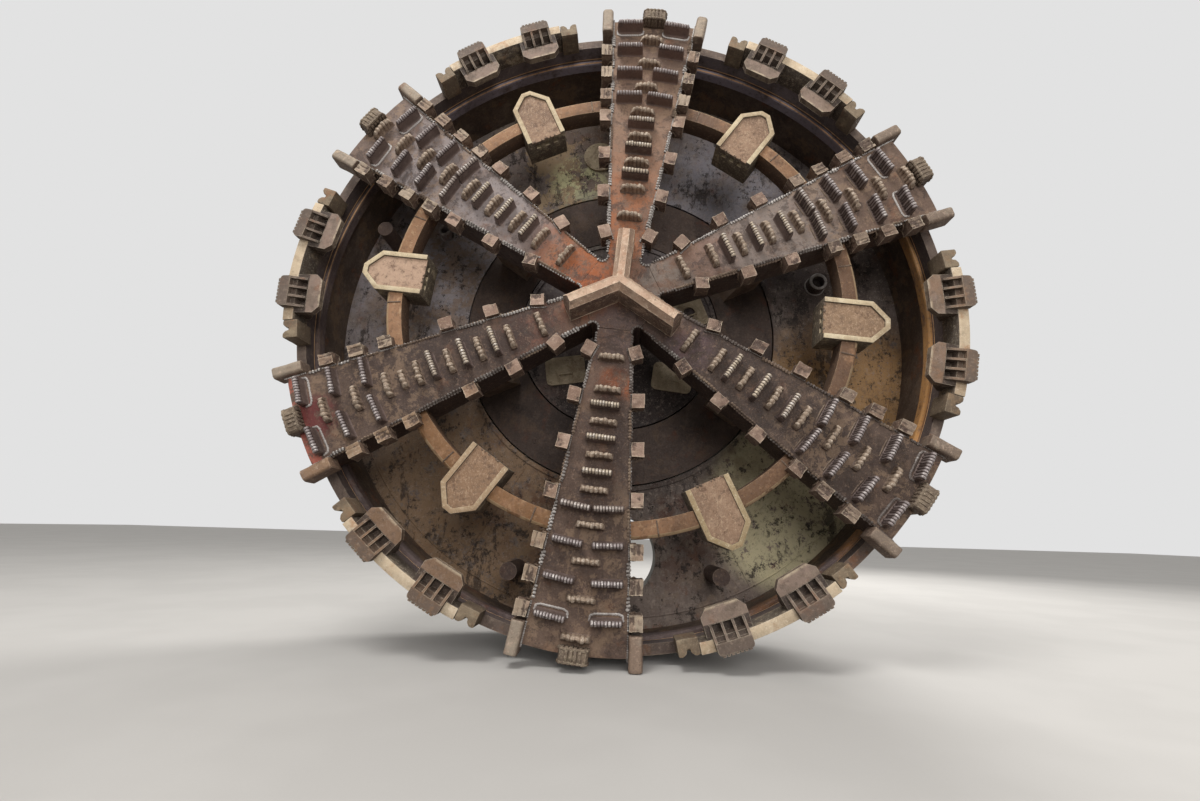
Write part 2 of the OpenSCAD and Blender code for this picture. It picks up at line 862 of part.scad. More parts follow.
// Slanting legs from the spoke backs to the drive ring.
module spoke_legs() {
  color([0.33, 0.25, 0.22])
    place()
      for (s = SPOKES)
        at_angle(s[ANG])
          rotate([90, 0, 0])
            translate([0, 0, -leg_w / 2])
              linear_extrude(leg_w)
                polygon([[leg_out_r - leg_head, -spoke_depth - fit], [leg_out_r, -spoke_depth - fit],
                  [ring_out_r - 90, -ring_front + fit], [leg_in_r, -ring_front + fit]]);
}

// Ring that turns between the fixed plates, with the narrower part that runs in the bearing housing.
module drive_ring() {
  color([0.30, 0.24, 0.21])
    place() {
      ring(ring_in_r, ring_out_r, ring_front, ring_rear);
      ring(ring_in_r + 30, ring_out_r - 30, ring_rear - 1, housing_rear - housing_t - 25);
    }
}

// Hollow pipe that feeds the face of the cutterhead through the centre disc.
module centre_pipe() {
  color([0.28, 0.23, 0.21])
    place()
      difference() {
        slab(spoke_depth + fit, bulkhead_depth + pipe_reach)
          circle(r = pipe_r);
        slab(spoke_depth + 60, bulkhead_depth + pipe_reach + past)
          circle(r = pipe_r - pipe_wall);
      }
}

module shield_skin() {
  color([0.36, 0.31, 0.28])
    place()
      ring(skin_in_r, skin_r, skin_front + wear_len, rear_depth - joint_t);
}

// Thick ring at the front of the skin, with a worn inner edge.
module front_wear_ring() {
  color([0.52, 0.45, 0.37])
    place()
      translate([0, 0, -skin_front - wear_len])
        rotate_extrude()
          polygon([[wear_in_r, 0], [skin_r, 0], [skin_r, wear_len], [wear_in_r + 12, wear_len],
            [wear_in_r, wear_len - 20]]);
}

module bulkhead() {
  color([0.27, 0.21, 0.19])
    place()
      difference() {
        ring(ring_out_r + run_gap, skin_in_r - fit, bulkhead_depth, bulkhead_rear);
        translate([0, -spoil_port_at, -bulkhead_rear - past])
          cylinder(r = spoil_port_r, h = bulkhead_t + 2 * past);
      }
}

module centre_disc() {
  color([0.25, 0.20, 0.18])
    place()
      ring(pipe_r + run_gap, ring_in_r - run_gap, bulkhead_depth, bulkhead_rear);
}

// Raised rings on the fixed plates beside both seams of the drive ring, and one round the centre pipe.
module seam_rings() {
  color([0.34, 0.29, 0.26])
    place()
      for (q = [[ring_out_r + run_gap, 46, 22], [ring_in_r - run_gap - 42, 42, 22], [pipe_r + run_gap, 50, 30]])
        ring(q[0], q[0] + q[1], bulkhead_depth - q[2], bulkhead_depth);
}

// Outline of a plate with rounded corners.
module round_rect(w, h, r) {
  x = w / 2 - r;
  y = h / 2 - r;
  polygon(concat(arc(x, y, r, 0, 90, 5), arc(-x, y, r, 90, 180, 5),
    arc(-x, -y, r, 180, 270, 5), arc(x, -y, r, 270, 360, 5)));
}

module access_hatches() {
  hatch_t = 26;
  color([0.60, 0.55, 0.45])
    place() {
      for (p = HATCHES)
        translate([p[0], p[1], 0])
          rotate([0, 0, p[4]])
            slab(bulkhead_depth - hatch_t, bulkhead_depth - fit)
              difference() {
                round_rect(p[2], p[3], 55);
                if (p[5] > 0)
                  circle(r = p[5]);
              }
      translate([ROUND_COVER[0], ROUND_COVER[1], 0])
        slab(bulkhead_depth - hatch_t, bulkhead_depth - fit)
          circle(r = ROUND_COVER[2]);
    }
}

module bulkhead_ports() {
  color([0.24, 0.20, 0.19])
    place()
      for (p = PORTS)
        translate([p[0], p[1], -bulkhead_depth])
          difference() {
            cylinder(r = p[2], h = 120);
            translate([0, 0, 30])
              cylinder(r = p[3], h = 100);
          }
}

// Round bars that stand on the fixed bulkhead between the mid ring and the rim.
module mixing_bars() {
  color([0.50, 0.42, 0.35])
    place()
      for (a = MIXING_BAR_ANGLES)
        rotate([0, 0, a])
          translate([mixing_bar_at, 0, 0])
            slab(spoke_depth + 40, bulkhead_depth)
              circle(r = mixing_bar_r);
}

// Closed channel behind the bulkhead in which the rear of the drive ring runs, with the flat thrust
// land that carries the shoulder of that ring.
module bearing_housing() {
  color([0.40, 0.38, 0.36])
    place() {
      ring(housing_out_r - housing_t, housing_out_r, bulkhead_rear, housing_rear);
      ring(ring_out_r - run_gap, ring_out_r + run_gap + 1, ring_rear + fit, ring_rear + land_t);
      slab(housing_rear - housing_t, housing_rear)
        circle(r = housing_out_r - 1);
      ring(ring_in_r - run_gap - housing_t, ring_in_r - run_gap, bulkhead_rear, housing_rear - housing_t + 1);
    }
}

// Round covers on the ports for the drive units, each with a raised boss.
module drive_covers() {
  at_r = (ring_in_r + ring_out_r) / 2;
  color([0.46, 0.44, 0.42])
    place()
      for (k = [0:drive_ports - 1])
        rotate([0, 0, (k + 0.5) * 360 / drive_ports])
          translate([at_r, 0, 0]) {
            slab(housing_rear + fit, housing_rear + drive_cover_t)
              circle(r = drive_cover_r);
            slab(housing_rear + drive_cover_t - 1, housing_rear + drive_cover_t + 20)
              circle(r = drive_cover_r * 0.45);
          }
}

// Flanged sleeve behind the hole at the bottom of the bulkhead, through which the spoil leaves.
module spoil_port() {
  rear = bulkhead_rear + spoil_port_len;
  color([0.42, 0.40, 0.38])
    place()
      translate([0, -spoil_port_at, 0]) {
        ring(spoil_port_r, spoil_port_r + spoil_port_wall, bulkhead_rear + fit, rear);
        ring(spoil_port_r, spoil_port_r + spoil_port_wall + 70, rear - 40, rear);
      }
}

// Radial webs that stiffen the bulkhead between the bearing housing and the skin.
module rear_webs() {
  out_r = skin_in_r - 2;
  color([0.42, 0.40, 0.38])
    place()
      difference() {
        for (k = [0:web_count - 1])
          rotate([0, 0, (k + 0.5) * 360 / web_count])
            rotate([90, 0, 0])
              translate([0, 0, -web_t / 2])
                linear_extrude(web_t)
                  polygon([[housing_out_r - past, -bulkhead_rear - fit], [out_r, -bulkhead_rear - fit],
                    [out_r, -rear_depth + joint_t + 100], [out_r - 260, -rear_depth + joint_t + 100],
                    [housing_out_r - past, -housing_rear + 40]]);
        slab(bulkhead_rear - past, housing_rear + past)
          circle(r = housing_out_r + fit);
      }
}

module rear_flange() {
  color([0.46, 0.44, 0.42])
    place()
      difference() {
        ring(skin_r - joint_w, skin_r, rear_depth - joint_t, rear_depth);
        for (k = [0:joint_bolts - 1])
          rotate([0, 0, (k + 0.5) * 360 / joint_bolts])
            translate([joint_hole_at, 0, -rear_depth - past])
              cylinder(r = joint_hole_r, h = joint_t + 2 * past);
      }
}

hub_plate();
spoke_1();
spoke_2();
spoke_3();
spoke_4();
spoke_5();
spoke_6();
rim_ring();
rim_bands();
rim_end_blocks();
gauge_blocks_a();
gauge_blocks_b();
mid_ring();
sector_boxes();
sector_box_plates();
centre_blades();
tall_teeth_p();
tall_teeth_q();
low_teeth_p();
low_teeth_q();
edge_teeth();
scrapers_p();
scrapers_q();
scraper_tips_p();
scraper_tips_q();
gauge_scrapers();
spoke_legs();
drive_ring();
centre_pipe();
shield_skin();
front_wear_ring();
bulkhead();
centre_disc();
seam_rings();
access_hatches();
bulkhead_ports();
mixing_bars();
bearing_housing();
drive_covers();
spoil_port();
rear_webs();
rear_flange();
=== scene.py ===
"""Looks of the spoke cutterhead: worn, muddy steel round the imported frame, a studio and the camera."""
import json
import math
import random

import bmesh
import bpy
import numpy as np
from mathutils import Matrix, Vector, noise


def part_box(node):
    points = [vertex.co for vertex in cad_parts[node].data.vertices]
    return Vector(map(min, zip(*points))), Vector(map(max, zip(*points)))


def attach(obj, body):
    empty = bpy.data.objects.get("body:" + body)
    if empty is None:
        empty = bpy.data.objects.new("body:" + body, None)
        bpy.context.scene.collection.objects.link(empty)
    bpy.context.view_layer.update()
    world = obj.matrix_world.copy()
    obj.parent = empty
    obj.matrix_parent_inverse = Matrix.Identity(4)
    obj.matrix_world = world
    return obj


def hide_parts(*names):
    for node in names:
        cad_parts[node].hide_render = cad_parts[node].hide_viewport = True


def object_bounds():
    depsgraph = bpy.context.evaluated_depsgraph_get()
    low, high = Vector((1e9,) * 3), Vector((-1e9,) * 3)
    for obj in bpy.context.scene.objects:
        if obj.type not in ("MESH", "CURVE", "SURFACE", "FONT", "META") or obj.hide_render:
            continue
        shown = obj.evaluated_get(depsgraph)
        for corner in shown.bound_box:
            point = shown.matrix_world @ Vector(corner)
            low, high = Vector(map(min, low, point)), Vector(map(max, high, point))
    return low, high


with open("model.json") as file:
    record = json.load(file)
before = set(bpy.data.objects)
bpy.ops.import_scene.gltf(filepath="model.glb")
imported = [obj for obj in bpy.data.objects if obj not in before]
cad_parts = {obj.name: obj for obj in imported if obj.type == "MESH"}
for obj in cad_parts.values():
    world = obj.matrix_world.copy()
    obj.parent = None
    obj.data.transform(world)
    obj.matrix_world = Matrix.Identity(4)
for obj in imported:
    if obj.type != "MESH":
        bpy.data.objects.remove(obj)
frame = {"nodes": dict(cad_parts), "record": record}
cad_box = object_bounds()
nodes = frame["nodes"]
rng = random.Random(7)

# Sizes shared with the solids, in metres. Depths are behind the spoke faces.
REAR = 1.65
TURN = -5.7
ROTOR, FIXED = "cutterhead", "front_section"
SPOKE_END_R = 3.045
HUB_R = 0.345
ROW_PITCH = 0.1427
START_P, START_Q = 1.06, 0.915
FIRST_PAIR, LAST_PAIR = 7, 13
# a spoke's flanks spread by this much a metre on each side, which is this many degrees
TAPER, SPLAY = 0.1, 5.71
# the innermost scrapers stand askew and lap over the flank
SKEW, LAP = 16, 0.026
FIRST_GAP = 0.2925
TALL = (0.245, 0.05, 0.132)
LOW = (0.226, 0.05, 0.098)
EDGE_R, EDGE_LEN, EDGE_W, EDGE_H = 2.975, 0.112, 0.236, 0.114
SCRAPER_W, SCRAPER_LEN, SCRAPER_FWD, SCRAPER_BACK = 0.112, 0.128, 0.058, 0.11
END_SCRAPER = (2.843, 3.105)
PITCH_IN, PITCH_OUT = 0.415, 0.264
NOTCH_R, NOTCH_AT = 0.047, 0.4052
MID_R, MID_W, MID_FRONT = 2.16, 0.15, 0.062
BULKHEAD, BULKHEAD_REAR, HOUSING_REAR = 1.0, 1.052, 1.4
BULKHEAD_R, SKIN_R = 2.895, 3.0605
HATCH_TOP, ROUND_COVER = 0.026 - BULKHEAD, (-0.265, 2.192)
COVER_R, PORT_R, PORT_REAR = 1.3575, 2.33, 1.35
PLUG_R, BOX_MOUTH = (1.47, 1.36), 1.845
SPECULAR = 0.4
# angle, centre blade, first inner scraper, how many, first outer one, how many, row with one small tooth
SPOKES = [
    (90, 1, 0.588, 4, 2.085, 3, -1),
    (30, 0, 0.722, 4, 2.218, 3, -1),
    (330, 1, 0.870, 4, 2.382, 2, -1),
    (270, 0, 0.575, 4, 2.225, 3, -1),
    (210, 1, 0.720, 3, 2.107, 3, 7),
    (150, 0, 0.860, 3, 1.966, 4, -1)]
# teeth of each row: 0 one low tooth, 1 one tall tooth, 2 a pair of tall teeth
ROWS_P = [0, 1, 0, 1, 0, 1, 0, 2, 0, 2, 0, 2, 0, 2]
ROWS_Q = ROWS_P + [0]
# spokes whose paired teeth have their ribbed flank towards the hub
RIBBED_SPOKES = (30, 330)
HATCHES = [(-0.56, -0.44, 0.42, 0.30, 8), (0.57, -0.50, 0.42, 0.30, -8), (0.76, 0.24, 0.34, 0.36, 20)]
PORTS = [(2.133, 0.577, 0.079), (-1.98, 1.15, 0.056), (2.05, -0.9, 0.056), (-2.25, -0.42, 0.056)]
# bolt circles at the rear: how many, radius
FLANGE_BOLTS = [(60, 1.672), (24, 0.93)]
# places of the bulkhead's welds: first and last radius with their angles
WALL_WELDS = [(1.74, 2.9, (38, 74, 118, 163, 205, 238, 297, 341)), (0.3, 1.0, (20, 140, 265))]
PLACE = Matrix(((1, 0, 0, 0), (0, 0, -1, -REAR), (0, 1, 0, 0), (0, 0, 0, 1)))


def at(angle, r=0.0, side=0.0, up=0.0, twist=0.0, turn=TURN):
    """Matrix from a piece's own frame (x out, y sideways, z forward) to its place on a spoke or sector."""
    return (PLACE @ Matrix.Rotation(math.radians(angle + turn), 4, "Z")
            @ Matrix.Translation((r, side, up)) @ Matrix.Rotation(math.radians(twist), 4, "Z"))


def behind(angle, r, depth):
    """Matrix for a piece on a rear face, its own z pointing back along the machine."""
    return (Matrix.Rotation(math.radians(-angle), 4, "Y") @ Matrix.Translation((r, depth - REAR, 0))
            @ Matrix.Rotation(math.radians(-90), 4, "X"))


def half_w(r):
    """Half the width of a spoke at a radius."""
    return 0.12 + TAPER * r


def row_r(blade, i):
    """Radius of a tooth row on the spokes with or without a centre blade."""
    return (START_P if blade else START_Q) + ROW_PITCH * i


def pair_y(r):
    """How far to the side the teeth of a pair stand at a radius."""
    return 0.15 + TAPER * (r - row_r(1, FIRST_PAIR))


def ring(r, n, z=0.0, x=0.0, y=0.0, start=0, stop=360):
    """Points on a circle or, between two angles, on an arc."""
    return [(x + r * math.cos(t), y + r * math.sin(t), z)
            for t in np.linspace(math.radians(start), math.radians(stop), n)]


def lin(*rgb):
    """Linear colour from the 0-255 values of a screen colour."""
    return tuple((c / 255 / 12.92) if c <= 10 else ((c / 255 + 0.055) / 1.055) ** 2.4 for c in rgb) + (1.0,)


class Shade:
    """One node material made of colour layers, each let through by a mask."""

    def __init__(self, name, metallic=0.0, rough=(0.6, 0.9)):
        self.mat = bpy.data.materials.new(name)
        self.mat.use_nodes = True
        self.nt = self.mat.node_tree
        self.nt.nodes.clear()
        out = self.new("OutputMaterial")
        self.bsdf = self.new("BsdfPrincipled")
        self.nt.links.new(self.bsdf.outputs[0], out.inputs[0])
        self.bsdf.inputs["Metallic"].default_value = metallic
        self.bsdf.inputs["Specular IOR Level"].default_value = SPECULAR
        self.coord = self.new("TexCoord").outputs["Object"]
        self.colour = None
        self.height = None
        self.put(self.bsdf.inputs["Roughness"], self.span(self.noise(60, 5, 0.6), 0.3, 0.7, *rough))

    def new(self, kind, *values):
        """A node of a kind, its first inputs set or linked in turn."""
        n = self.nt.nodes.new("ShaderNode" + kind)
        for socket, v in zip(n.inputs, values):
            self.put(socket, v)
        return n

    def put(self, socket, v):
        if isinstance(v, bpy.types.NodeSocket):
            self.nt.links.new(v, socket)
        else:
            socket.default_value = v

    def place(self, stretch, shift):
        """Object coordinates, stretched and shifted where asked."""
        if not (stretch or any(shift)):
            return self.coord
        return self.new("Mapping", self.coord, shift, (0, 0, 0), stretch or (1, 1, 1)).outputs[0]

    def noise(self, scale, detail=6, rough=0.6, stretch=None, shift=(0, 0, 0), warp=0.0):
        n = self.new("TexNoise", self.place(stretch, shift))
        for socket, v in (("Scale", scale), ("Detail", detail), ("Roughness", rough), ("Distortion", warp)):
            n.inputs[socket].default_value = v
        return n.outputs["Fac"]

    def cells(self, scale, shift=(0, 0, 0)):
        n = self.new("TexVoronoi", self.place(None, shift))
        n.inputs["Scale"].default_value = scale
        return n.outputs["Distance"]

    def span(self, v, lo, hi, to_lo=0.0, to_hi=1.0):
        """A value eased from one range to another."""
        n = self.new("MapRange", v, lo, hi, to_lo, to_hi)
        n.interpolation_type = "SMOOTHSTEP"
        return n.outputs[0]

    def spots(self, lo, hi, *noise, **more):
        """Mask of noise spots: 0 where the noise is at lo, 1 where it is at hi."""
        return self.span(self.noise(*noise, **more), lo, hi)

    def math(self, op, *values):
        n = self.new("Math", *values)
        n.operation = op
        return n.outputs[0]

    def times(self, *masks):
        v = masks[0]
        for m in masks[1:]:
            v = self.math("MULTIPLY", v, m)
        return v

    def attr(self, name):
        n = self.new("Attribute")
        n.attribute_name = name
        return n.outputs["Fac"]

    def away(self, x=0.0, z=0.0):
        """Distance across the face from a point on it, by default from the machine axis, in metres."""
        s = self.new("SeparateXYZ", self.coord)
        dx = self.math("SUBTRACT", s.outputs["X"], x)
        dz = self.math("SUBTRACT", s.outputs["Z"], z)
        return self.math("SQRT", self.math("ADD", self.times(dx, dx), self.times(dz, dz)))

    def depth(self):
        """Distance behind the spoke faces, in metres."""
        return self.math("ADD", self.new("SeparateXYZ", self.coord).outputs["Y"], REAR)

    def forward(self):
        """1 on faces that look along the machine to the front, 0 on its other faces."""
        t = self.new("VectorTransform", self.new("NewGeometry").outputs["True Normal"])
        t.vector_type, t.convert_from, t.convert_to = "NORMAL", "WORLD", "OBJECT"
        return self.span(self.new("SeparateXYZ", t.outputs[0]).outputs["Y"], -0.3, -0.75)

    def edges(self, radius):
        """1 on convex and concave edges, 0 on flat surfaces."""
        b = self.new("Bevel", radius)
        b.samples = 4
        d = self.new("VectorMath", b.outputs[0], self.new("NewGeometry").outputs["Normal"])
        d.operation = "DOT_PRODUCT"
        return self.span(d.outputs["Value"], 0.985, 0.8)

    def layer(self, rgb, amount=1.0, *masks):
        """Lays a screen colour over those below it where all its masks let it through."""
        if self.colour is None:
            self.colour = lin(*rgb)
            return
        n = self.new("Mix")
        n.data_type = "RGBA"
        if amount != 1.0:
            masks += (amount,)
        for i, v in ((0, self.times(*masks)), (6, self.colour), (7, lin(*rgb))):
            self.put(n.inputs[i], v)
        self.colour = n.outputs[2]

    def patch(self, rgb, x, z, reach, core, mask, amount):
        """A stain round a point of the face, fading out between two distances from it."""
        self.layer(rgb, amount, self.span(self.away(x, z), reach, core), mask)

    def rough(self, *parts):
        """Adds surface height from (value, amount) pairs, in metres."""
        for v, amount in parts:
            h = self.math("MULTIPLY", v, amount)
            self.height = h if self.height is None else self.math("ADD", self.height, h)

    def done(self):
        self.put(self.bsdf.inputs["Base Color"], self.colour)
        if self.height is not None:
            b = self.new("Bump")
            for socket, v in (("Strength", 1.0), ("Distance", 1.0), ("Height", self.height)):
                self.put(b.inputs[socket], v)
            self.put(self.bsdf.inputs["Normal"], b.outputs[0])
        return self.mat


def steel(name, base, dark, light, edge=None, mud=None, rust=None, metallic=0.0, rough=(0.6, 0.9),
          streaks=0.5, extra=None, sides=None, side_shade_amount=0.85, mottle=0.55):
    """Worn plate or casting: broad tones, streaks, stains, grit, pits, painted shade on the sides and
    rubbed edges.
    """
    s = Shade(name, metallic, rough)
    s.layer(base)
    s.layer(dark, 0.8, s.spots(0.44, 0.68, 2.3, 5, 0.62, warp=0.6))
    s.layer(light, 0.75, s.spots(0.48, 0.72, 7.0, 7, 0.66, shift=(3, 1, 7)))
    if streaks:
        s.layer(dark, streaks, s.spots(0.52, 0.74, 9, 6, 0.6, stretch=(1.6, 1.6, 0.16), shift=(1, 5, 2)))
    if rust:
        s.layer(rust, 0.7, s.spots(0.54, 0.66, 4.2, 8, 0.7, shift=(9, 4, 1)))
    if mud:
        s.layer(mud, 0.65, s.spots(0.53, 0.6, 3.4, 9, 0.72, shift=(2, 8, 5), warp=0.3))
    if extra:
        extra(s)
    # the sides colour is painted shade on the faces that don't look to the front
    if sides:
        s.layer(sides, side_shade_amount, s.math("SUBTRACT", 1.0, s.forward()),
                s.spots(0.25, 0.5, 6, 6, 0.7, shift=(4, 4, 8)))
    s.layer([c * 0.72 for c in base], mottle, s.spots(0.5, 0.68, 19, 7, 0.75, shift=(7, 2, 2)))
    s.layer([min(255, c * 1.12) for c in light], mottle, s.spots(0.53, 0.68, 27, 8, 0.78, shift=(2, 9, 6)))
    s.layer([min(255, c * 1.25) for c in light], 0.5, s.spots(0.55, 0.7, 85, 6, 0.8, shift=(6, 1, 3)))
    s.layer([c * 0.55 for c in dark], 0.65, s.spots(0.56, 0.72, 38, 8, 0.75, shift=(5, 5, 0)))
    if edge:
        ragged = s.times(s.edges(0.01), s.spots(0.35, 0.6, 22, 6, 0.7, shift=(4, 0, 9)))
        s.layer(edge, 0.7, ragged)
    s.rough((s.noise(90, 6, 0.7), 0.0016), (s.noise(14, 5, 0.6), 0.003),
            (s.span(s.cells(55, shift=(1, 1, 1)), 0.0, 0.3), 0.0006))
    return s.done()


def spoke_extra(s):
    """Orange rust by the hub, browner plates further out, primer on one spoke end and painted shade on the
    side walls.
    """
    r = s.away()
    flat = s.spots(0.4, 0.56, 6.0, 9, 0.76, shift=(0, 3, 3))
    ragged = s.spots(0.42, 0.52, 7, 8, 0.75, shift=(4, 4, 1))
    s.layer((122, 92, 76), 0.6, s.span(r, 1.6, 0.6))
    s.patch((158, 84, 44), -0.25, 0.16, 0.5, 0.3, flat, 0.9)
    s.patch((156, 94, 54), -0.62, 0.46, 0.3, 0.1, flat, 0.8)
    s.patch((158, 100, 66), -0.05, 0.9, 0.95, 0.4, flat, 0.85)
    s.patch((146, 80, 44), -0.02, -0.86, 0.2, 0.12, flat, 0.9)
    s.patch((126, 80, 64), -0.8, -0.3, 0.4, 0.14, flat, 0.8)
    s.patch((142, 114, 102), 0.86, 0.36, 0.3, 0.1, flat, 0.8)
    broad = s.spots(0.3, 0.52, 3.0, 8, 0.72, shift=(6, 6, 2))
    s.patch((48, 38, 34), 1.3, -1.2, 1.9, 1.1, broad, 0.88)
    s.patch((52, 41, 38), -1.5, -0.7, 1.3, 0.8, broad, 0.85)
    s.patch((62, 47, 40), -0.1, -1.9, 1.1, 0.6, broad, 0.7)
    s.patch((152, 144, 144), -1.5, 1.2, 1.4, 0.6, broad, 0.75)
    s.patch((148, 118, 98), 0.1, 1.8, 1.0, 0.5, broad, 0.65)
    s.patch((146, 136, 130), 1.4, 0.8, 0.9, 0.4, broad, 0.65)
    s.patch((118, 108, 100), 0.36, 0.06, 0.42, 0.22, flat, 0.9)
    # painted shade under the centre blade
    s.patch((92, 76, 72), 0.02, -0.36, 0.42, 0.22, flat, 0.9)
    s.patch((92, 72, 76), 0.62, -0.5, 0.3, 0.1, flat, 0.7)
    s.layer((104, 86, 76), 0.6, s.span(r, 1.7, 2.6), s.spots(0.4, 0.62, 2.0, 6, 0.6, shift=(7, 3, 3)))
    s.layer((146, 122, 100), 0.5, s.span(r, 1.5, 2.1),
            s.spots(0.52, 0.545, 5.5, 11, 0.78, shift=(2, 5, 7), warp=0.4))
    s.layer((58, 46, 43), 0.6, s.spots(0.53, 0.56, 4.6, 11, 0.78, shift=(9, 1, 5), warp=0.4))
    end = s.times(s.span(s.away(-2.73, -1.24), 0.62, 0.5), ragged)
    s.layer((186, 108, 92), 0.9, end, s.span(r, 2.93, 2.96))
    s.patch((104, 44, 46), -2.62, -1.2, 0.26, 0.12, ragged, 0.85)
    # painted shade on the spokes' side walls, behind the face
    s.layer((66, 52, 48), 0.75, s.span(s.depth(), 0.03, 0.10))


def leg_extra(s):
    s.layer((132, 112, 96), 0.6, s.spots(0.5, 0.6, 5, 8, 0.75, shift=(3, 3, 6)))


def ring_extra(s):
    front = s.forward()
    s.layer((156, 118, 88), 0.8, front, s.spots(0.3, 0.5, 5, 6, 0.6))
    s.layer((190, 158, 124), 0.65, front, s.spots(0.53, 0.63, 16, 9, 0.8, shift=(2, 0, 5)))
    stain_and_light = s.spots(0.32, 0.5, 4, 8, 0.75, shift=(1, 1, 6))
    s.patch((84, 62, 48), 2.1, -0.4, 2.2, 1.3, stain_and_light, 0.8)
    s.patch((92, 74, 64), 0.35, 2.1, 1.0, 0.5, stain_and_light, 0.8)
    s.patch((116, 82, 50), -1.4, -1.7, 1.2, 0.8, stain_and_light, 0.75)
    s.patch((98, 72, 52), 1.3, -1.7, 1.2, 0.8, stain_and_light, 0.75)
    # painted highlight on the outer chamfer band of the front
    s.layer((198, 172, 136), 0.6, s.span(s.away(), 2.128, 2.136), s.spots(0.38, 0.5, 8, 6, 0.7), front)


def rim_extra(s):
    """Painted shade on the inner face, painted light high up on it and a painted highlight along the rear
    edge of the rim.
    """
    inner = s.span(s.away(), 2.99, 2.985)
    # painted shade on the rim's inner face
    s.layer((84, 74, 74), 0.85, inner, s.spots(0.25, 0.45, 4, 6, 0.6))
    stain_and_light = s.spots(0.3, 0.5, 5, 7, 0.7, shift=(5, 5, 5))
    # painted light on the upper part of the inner face
    s.patch((134, 124, 128), 0.6, 3.0, 2.4, 1.0, s.times(inner, stain_and_light), 0.7)
    # painted highlight along the rear edge of the rim
    rear_edge_highlight = s.times(s.span(s.depth(), 0.373, 0.376), s.span(s.away(), 3.02, 3.0))
    s.layer((236, 190, 142), 0.95, rear_edge_highlight, s.spots(0.3, 0.42, 9, 5, 0.6))


def wear_extra(s):
    """Rust-brown dirt low on the right, painted light on the upper inner face and a thin painted highlight
    along the front inner edge.
    """
    low = s.times(s.span(s.away(2.3, -1.9), 2.0, 0.9), s.spots(0.36, 0.56, 3, 7, 0.7))
    s.layer((150, 104, 64), 0.75, low)
    tan = s.times(s.spots(0.3, 0.5, 3.5, 9, 0.76, stretch=(1, 2.5, 1), shift=(3, 3, 1)),
                  s.span(s.away(), 2.99, 2.975))
    s.patch((204, 152, 94), 2.9, -0.7, 1.9, 1.3, tan, 0.85)
    # painted light on the upper inner face
    upper_painted_light = s.times(s.span(s.away(0.2, 3.0), 3.2, 1.6), s.span(s.away(), 2.99, 2.975))
    s.layer((150, 142, 154), 0.85, upper_painted_light, s.spots(0.3, 0.5, 3, 7, 0.7, shift=(5, 5, 5)))
    # thin painted highlight along the front inner edge
    s.layer((236, 188, 140), 0.95, s.span(s.depth(), 0.412, 0.408), s.span(s.away(), 2.967, 2.964),
            s.span(s.away(0, 3), 4.6, 3.4))


def wall_extra(s):
    """Peeling cream, tan and olive paint in hard-edged patches, rust low down and black stains."""
    r = s.away()
    outer = s.span(r, 1.62, 1.72)
    broad = s.spots(0.34, 0.56, 2.2, 9, 0.72, shift=(2, 2, 2))
    peel = s.spots(0.505, 0.52, 2.3, 12, 0.74, shift=(3, 0, 1), warp=0.5)
    flake = s.spots(0.495, 0.51, 4.6, 12, 0.78, shift=(5, 0, 8), warp=0.3)
    speck = s.spots(0.42, 0.45, 6.5, 12, 0.82, shift=(8, 0, 4))
    s.patch((156, 150, 154), -2.1, 1.3, 2.6, 1.0, broad, 0.78)
    s.patch((136, 134, 142), 1.1, 1.5, 1.6, 0.5, broad, 0.8)
    s.patch((112, 88, 66), -0.6, 1.9, 1.3, 0.6, broad, 0.6)
    s.patch((160, 136, 104), -0.9, 1.9, 1.2, 0.5, peel, 0.85)
    s.patch((206, 202, 156), -0.5, 1.86, 0.42, 0.2, flake, 0.9)
    s.patch((122, 118, 106), -0.35, 1.3, 0.6, 0.3, flake, 0.7)
    s.patch((176, 136, 88), 2.4, -0.65, 1.1, 0.6, speck, 0.85)
    s.patch((196, 186, 150), 1.75, -1.8, 0.95, 0.7, speck, 0.9)
    s.patch((146, 116, 84), -1.5, -1.9, 1.5, 0.8, speck, 0.7)
    s.patch((134, 108, 84), -2.1, 0.5, 1.0, 0.5, flake, 0.6)
    s.layer((92, 56, 40), 0.75, s.spots(0.5, 0.6, 2.1, 8, 0.7, shift=(1, 3, 4)),
            s.span(s.away(0.0, -1.4), 1.7, 0.8))
    disc = s.span(r, 1.12, 1.08)
    s.layer((84, 74, 74), 0.7, disc, s.spots(0.32, 0.52, 2.6, 8, 0.7, shift=(4, 1, 4)))
    s.patch((30, 20, 19), 0.25, -0.9, 1.2, 0.6, s.spots(0.26, 0.46, 2.2, 8, 0.7, shift=(2, 7, 4)), 0.85)
    s.patch((46, 35, 33), 2.2, 0.75, 1.25, 0.75, s.spots(0.3, 0.5, 1.7, 6, 0.65, shift=(9, 9, 1)), 0.7)
    s.layer((26, 18, 16), 0.85, s.spots(0.545, 0.575, 7, 12, 0.82, shift=(0, 2, 6)))
    s.layer((30, 20, 17), 0.75, s.spots(0.56, 0.6, 3.4, 9, 0.75, stretch=(1.5, 1, 0.6), shift=(6, 2, 6)),
            outer)
    s.layer((118, 113, 106), 0.92, s.span(s.depth(), 1.02, 1.04))


